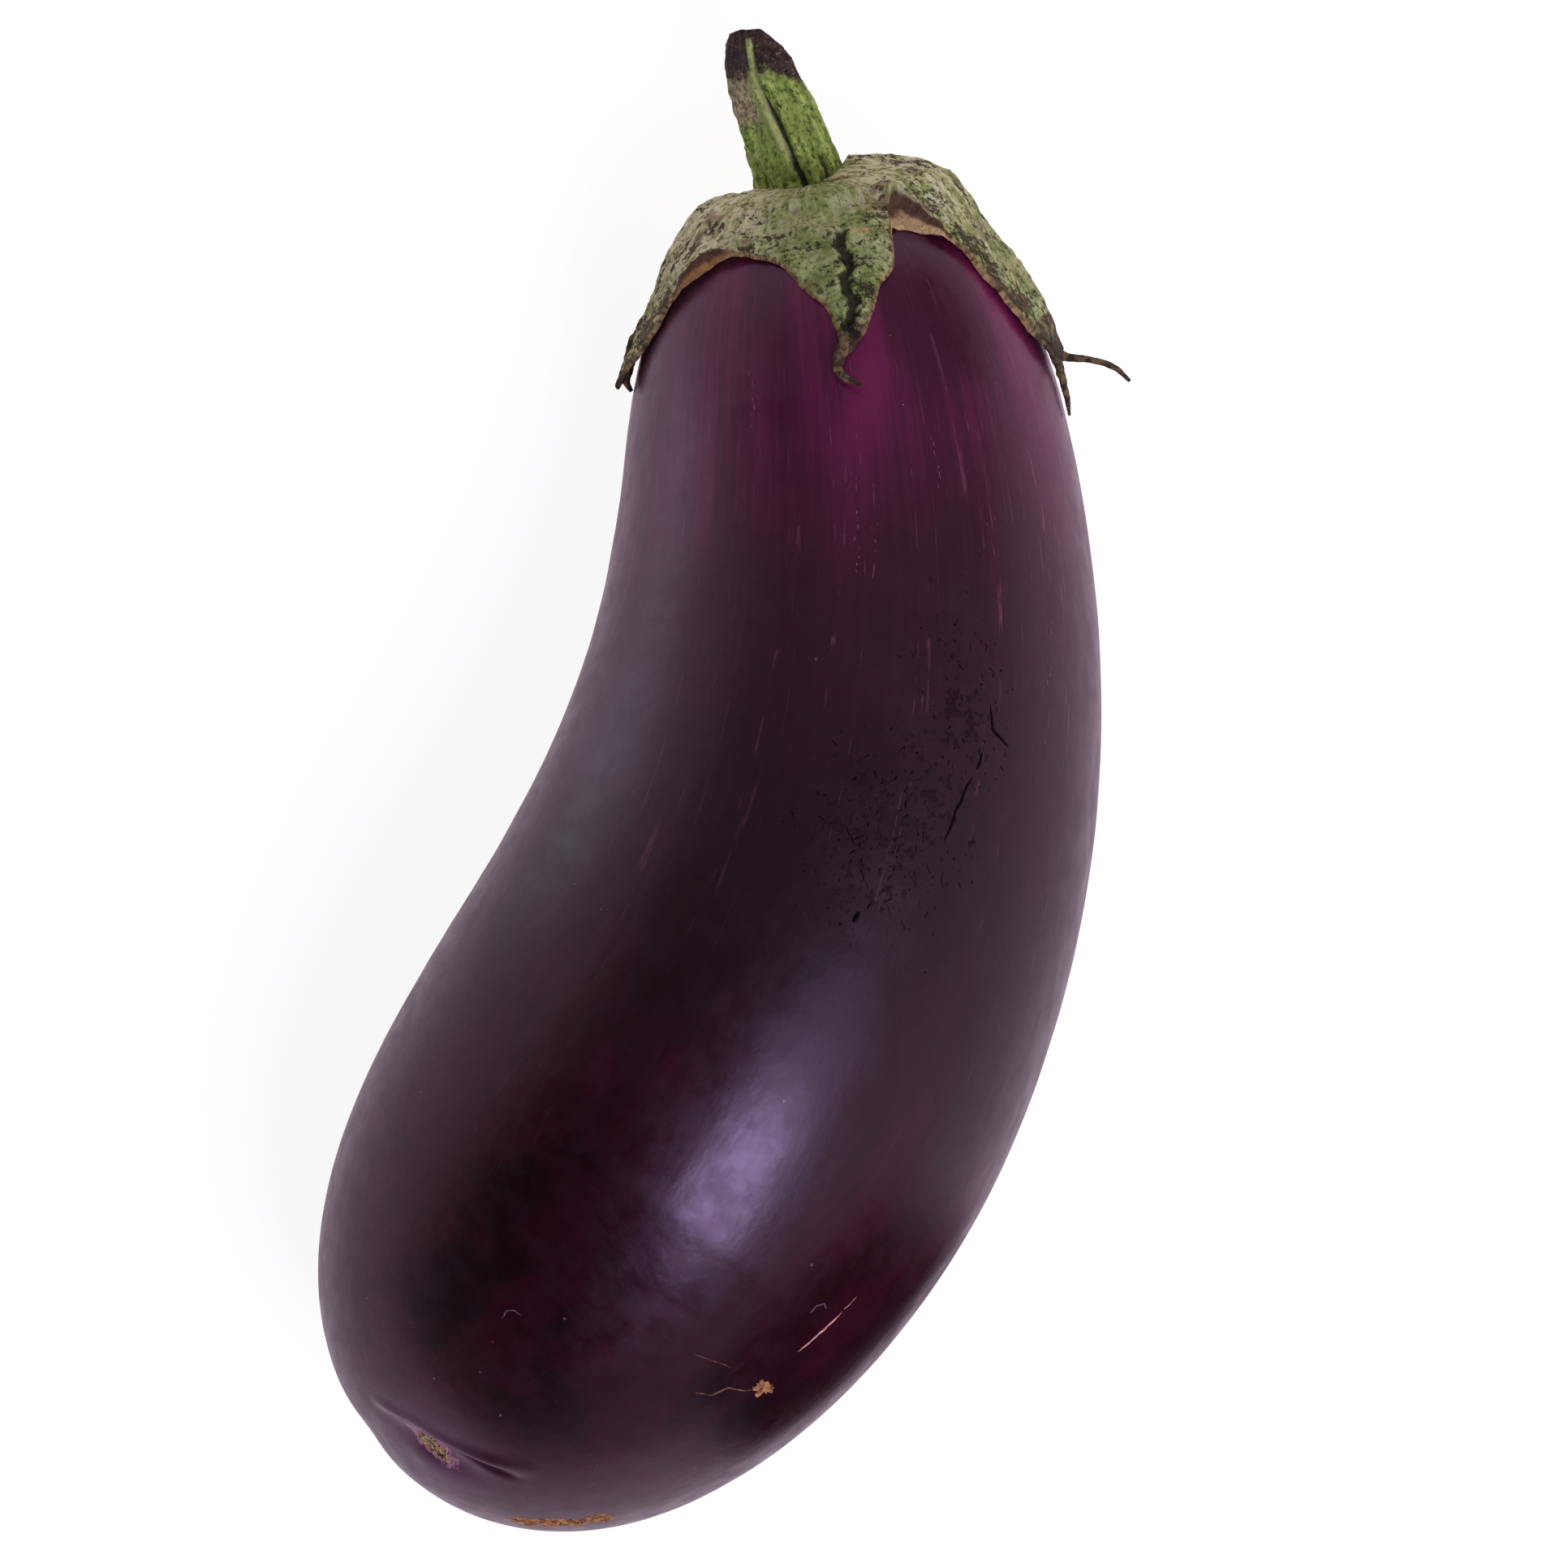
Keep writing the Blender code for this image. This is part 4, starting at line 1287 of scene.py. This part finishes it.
def make_stem(material):
    axis_points = np.array(STEM_AXIS)
    walked = running_length(axis_points)
    total = walked[-1]
    turn = np.linspace(-math.pi, math.pi, STEM_COLUMNS, endpoint=False)[None, :]
    sideways = np.sin(turn)
    whole = total - END_SLANT * smooth(0.10, 1.15, sideways) + 0.55 * bump(sideways, -0.62, 0.35)
    whole = whole + 0.16 * fractal(cylinder(3.0, turn, 0.0), 1.3, 2, 77)
    along = np.linspace(0.0, 1.0, STEM_ROWS)[:, None] * whole
    radius, groove, ridge = stem_side(turn, along, whole)

    # The cut end, hollow inside its rim.
    inward = np.linspace(0.0, 1.0, END_ROWS + 1)[1:-1, None]
    end_radius = radius[-1] * (1.0 - inward)
    torn = 0.5 * fractal(cylinder(end_radius, turn, 0.0), 1.1, 3, 93)
    hollow = 0.9 * smooth(0.0, 0.35, inward) + torn * smooth(0.0, 0.2, inward)
    end_along = whole[0] * (1.0 - inward) + (total - 0.4 * END_SLANT) * inward - hollow
    all_along = np.concatenate([along, end_along])
    all_radius = np.concatenate([radius, end_radius])

    ahead = points_on(axis_points, walked, all_along + 2.5)
    behind = points_on(axis_points, walked, all_along - 2.5)
    forward = unit(ahead - behind)
    past = np.maximum(all_along - total, 0.0)
    centre = points_on(axis_points, walked, all_along) + forward * past[..., None]
    side = unit(np.cross(forward, np.array([0.0, 0.0, 1.0])))
    points, faces = capped_tube(around(centre, side, np.cross(side, forward), all_radius, turn))
    stem = place("cut_stem", points, faces, material)

    on_end = 0.0 * end_along
    from_end = np.concatenate([whole - along, on_end])
    groove_shade = np.concatenate([groove, on_end])
    ridge_and_highlight = np.concatenate([ridge, on_end])
    end_mark = np.concatenate([0.0 * along, inward + on_end])
    for name, values in (
        ("straight", cylinder(all_radius, turn, all_along)),
        ("marks", np.stack([from_end, groove_shade, ridge_and_highlight], -1)),
        ("turns", cylinder(1.0, turn, end_mark)),
    ):
        flat = values.reshape(-1, 3)
        ends = np.stack([flat[:STEM_COLUMNS].mean(0), flat[-STEM_COLUMNS:].mean(0)])
        add_values(stem, name, np.concatenate([flat, ends]))
    finish_piece(stem, "stem")


def stem_material():
    s = Shader("stalk_green", Specular_IOR_Level=0.35)
    straight = s.vector("straight")
    marks = s.vector("marks")
    turns = s.vector("turns")
    from_end = s.part(marks, 0)
    groove = s.part(marks, 1)
    ridge = s.part(marks, 2)
    left = s.times(s.part(turns, 0), -1.0)
    end_face = s.part(turns, 2)
    fibres = s.noise(s.scale(straight, (1.0, 1.0, 0.16)), 1.0, 4.0, 0.65)
    s.colour = s.mix(s.span(fibres, 0.36, 0.66), screen(126, 157, 58), screen(202, 222, 110))
    s.paint(s.span(s.noise(straight, 0.30, 3.0), 0.42, 0.66), screen(150, 172, 80))
    mottled = s.span(s.noise(straight, 1.1, 4.0, 0.65), 0.46, 0.64)
    s.paint(s.times(mottled, 0.7), screen(92, 112, 46))
    pits = s.span(s.noise(s.scale(straight, (1.0, 1.0, 0.55)), 1.6, 4.0, 0.7), 0.56, 0.64)
    s.paint(s.times(pits, 0.8), screen(52, 58, 28))
    uneven_end = s.add_up(from_end, s.swing(straight, 0.8, 3.0, 5.0))
    grey_patch = s.times(s.span(uneven_end, 14.5, 11.5), s.span(left, 0.30, 0.60))
    grainy = s.span(s.noise(straight, 1.5, 4.0, 0.7), 0.40, 0.62)
    grey = s.mix(grainy, screen(206, 190, 148), screen(112, 96, 66))
    s.paint(s.times(grey_patch, 0.85), grey)
    # Painted shade in the grooves down the stem.
    s.paint(s.span(groove, 0.30, 0.80), screen(46, 52, 26))
    # The pale ridge: lighter green tissue with a painted highlight along it.
    s.paint(s.span(ridge, 0.45, 0.95, 0.0, 0.75), screen(206, 214, 132))
    kept_green = s.times(s.span(ridge, 0.35, 0.75), s.span(from_end, 0.8, 2.2))
    dried = s.times(s.span(uneven_end, 7.4, 5.6), s.span(kept_green, 0.0, 1.0, 1.0, 0.08))
    dry = s.mix(s.span(s.noise(straight, 0.9, 4.0, 0.65), 0.38, 0.66), screen(36, 25, 18), screen(84, 66, 48))
    dry = s.mix(s.span(s.noise(straight, 2.2, 3.0, 0.6), 0.60, 0.70), dry, screen(150, 132, 118))
    s.paint(dried, dry)
    s.paint(s.span(end_face, 0.0, 0.12), screen(44, 32, 30))
    s.use("Base Color", s.colour)
    s.use("Roughness", s.span(s.noise(straight, 1.0, 2.0), 0.3, 0.7, 0.55, 0.85))
    relief = s.add_up(
        s.noise(s.scale(straight, (1.0, 1.0, 0.3)), 1.6, 4.0, 0.6),
        s.times(s.noise(straight, 3.6, 3.0, 0.6), 0.35),
        s.times(pits, -0.6),
    )
    s.use("Normal", s.bump(relief, 0.5, 0.85))
    return s.material


# ---------------------------------------------------------------- stage

VIEW_WIDTH = 225.4
VIEW_CENTRE = (8.0, -1.0)
VIEW_HEIGHT = 43.0
CAMERA_DISTANCE = 1200.0
SENSOR = 36.0
FLOOR_SIZE = 6.0
FLOOR_GLOW = 0.90
# The floor is a little dimmer in the gloss of the skin, most of all on the left.
FLOOR_GLOW_LEFT = 0.58
FLOOR_GLOW_RIGHT = 0.64


def make_camera():
    camera_data = bpy.data.cameras.new("camera")
    camera_data.sensor_width = SENSOR
    camera_data.lens = SENSOR * CAMERA_DISTANCE / VIEW_WIDTH
    camera_data.clip_start = 0.01
    camera_data.clip_end = 50.0
    camera = bpy.data.objects.new("camera", camera_data)
    camera.location = Vector((*VIEW_CENTRE, VIEW_HEIGHT + CAMERA_DISTANCE)) * MM
    bpy.context.scene.collection.objects.link(camera)
    bpy.context.scene.camera = camera


def make_floor():
    bpy.ops.mesh.primitive_plane_add(size=FLOOR_SIZE, location=(0.0, 0.0, 0.0))
    floor = bpy.context.object
    floor.name = "floor"
    s = Shader("white_floor", Roughness=0.9, Specular_IOR_Level=0.1)
    s.use("Base Color", (0.30, 0.30, 0.30, 1.0))
    seen_directly = s.node("ShaderNodeLightPath").outputs["Is Camera Ray"]
    s.use("Emission Color", s.mix(seen_directly, (1.0, 0.80, 0.92), (1.0, 1.0, 1.0)))
    across = s.part(s.node("ShaderNodeTexCoord").outputs["Object"], 0)
    in_gloss = s.span(across, -0.06, 0.01, FLOOR_GLOW_LEFT, FLOOR_GLOW_RIGHT)
    s.use("Emission Strength", s.mix_number(seen_directly, in_gloss, FLOOR_GLOW))
    floor.data.materials.append(s.material)


def make_light(name, direction, distance, width, height, radiance, colour):
    """A round soft box that faces the middle of the fruit."""
    data = bpy.data.lights.new(name, "AREA")
    data.shape = "ELLIPSE"
    data.size = width
    data.size_y = height
    data.energy = radiance * math.pi * (math.pi / 4.0) * width * height
    data.color = colour
    light = bpy.data.objects.new(name, data)
    away = Vector(direction).normalized()
    light.location = Vector((0.0, 0.0, VIEW_HEIGHT * MM)) + away * distance
    light.rotation_euler = away.to_track_quat("Z", "Y").to_euler()
    light.visible_camera = False
    bpy.context.scene.collection.objects.link(light)


def make_lights():
    make_light("key", (0.300, -0.392, 0.870), 1.1, 0.46, 0.52, 9.8, (0.66, 0.67, 1.0))
    make_light("key_halo", (0.400, -0.300, 0.870), 1.2, 1.00, 0.90, 0.95, (0.74, 0.72, 1.0))


CARD_POINTS = 9


def gloss_card(name, corners, material):
    """A sheet beside the fruit, soft at its edges, that is seen only in the gloss of the skin.

    The corners are given as near left, near right, far left and far right.
    """
    steps = np.linspace(0.0, 1.0, CARD_POINTS)
    across = steps[:, None, None]
    away = steps[None, :, None]
    near_left, near_right, far_left, far_right = np.array(corners)
    near = near_left + (near_right - near_left) * across
    far = far_left + (far_right - far_left) * across
    points = (near + (far - near) * away).reshape(-1, 3)
    mesh = bpy.data.meshes.new(name)
    faces = []
    for row in range(CARD_POINTS - 1):
        for column in range(CARD_POINTS - 1):
            first = row * CARD_POINTS + column
            beyond = first + CARD_POINTS
            faces.append((first, first + 1, beyond + 1, beyond))
    mesh.from_pydata(points.tolist(), [], faces)
    inside = 4.0 * across * (1.0 - across) * np.minimum(2.2 * (1.0 - away), 1.0)
    fade = mesh.attributes.new("fade", "FLOAT", "POINT")
    fade.data.foreach_set("value", inside.ravel())
    mesh.materials.append(material)
    card = bpy.data.objects.new(name, mesh)
    card.visible_camera = False
    card.visible_diffuse = False
    card.visible_shadow = False
    card.visible_transmission = False
    bpy.context.scene.collection.objects.link(card)


def card_material(name, glow, colour):
    s = Shader(name, Roughness=1.0, Specular_IOR_Level=0.0)
    s.use("Base Color", (0.01, 0.01, 0.01, 1.0))
    s.use("Emission Color", colour)
    s.use("Emission Strength", glow)
    s.use("Alpha", s.span(s.number("fade"), 0.02, 0.75))
    return s.material


def make_cards():
    # The dark card paints a dark reflection into the gloss of the skin at the lower right; the pale card
    # glows and paints a pale reflection on the left of the neck.
    dark = ((0.018, -0.147, 0.001), (0.061, -0.066, 0.001), (0.073, -0.310, 0.160), (0.218, -0.165, 0.160))
    gloss_card("dark_card", dark, card_material("dark_reflection_sheet", 0.0, (0.0, 0.0, 0.0, 1.0)))
    pale = ((-0.118, 0.034, 0.001), (-0.152, 0.114, 0.001), (-0.128, 0.044, 0.110), (-0.160, 0.118, 0.110))
    gloss_card("pale_card", pale, card_material("glowing_reflection_sheet", 1.35, (0.88, 0.92, 1.0, 1.0)))


def make_world():
    """Light that is dim overhead and brighter from the sides, most of all behind the stem."""
    world = bpy.data.worlds.new("studio")
    bpy.context.scene.world = world
    world.use_nodes = True
    w = Nodes(world.node_tree)
    direction = w.node("ShaderNodeTexCoord").outputs["Generated"]
    side_light = w.math("MULTIPLY_ADD", w.part(direction, 1), 0.24, 0.57)
    behind_right = w.span(w.towards(direction, (0.83, 0.55, 0.0)), 0.35, 0.95, 0.0, 0.34)
    behind_left = w.span(w.towards(direction, (-0.80, 0.60, 0.0)), 0.45, 0.95, 0.0, 0.04)
    overhead = w.span(w.add_up(w.part(direction, 2), behind_right, behind_left), 0.44, 0.62)
    light = w.times(side_light, w.span(overhead, 0.0, 1.0, 1.0, 0.0))
    light = w.add_up(light, w.times(overhead, 0.30))
    dark = w.span(w.towards(direction, (-0.55, -0.32, 0.77)), 0.53, 0.90, 1.0, 0.14)
    light = w.times(light, dark)
    right = w.span(w.towards(direction, (0.836, -0.224, 0.5)), 0.77, 0.96, 0.0, 0.32)
    light = w.add_up(light, right)
    light = w.times(light, w.span(w.towards(direction, (0.72, 0.69, 0.08)), 0.94, 0.99, 1.0, 0.15))
    seen_directly = w.node("ShaderNodeLightPath").outputs["Is Camera Ray"]
    background = w.tree.nodes["Background"]
    w.feed(background.inputs["Color"], w.mix(seen_directly, (1.0, 0.84, 0.94), (1.0, 1.0, 1.0)))
    w.feed(background.inputs["Strength"], w.mix_number(seen_directly, light, 1.0))


def main():
    scene = bpy.context.scene
    scene.view_settings.view_transform = "Standard"
    make_camera()
    make_floor()
    make_world()
    make_lights()
    make_cards()
    make_fruit(skin_material())
    make_marks()
    make_calyx(calyx_material())
    make_tips(tip_material())
    make_stem(stem_material())


main()
bpy.context.view_layer.update()
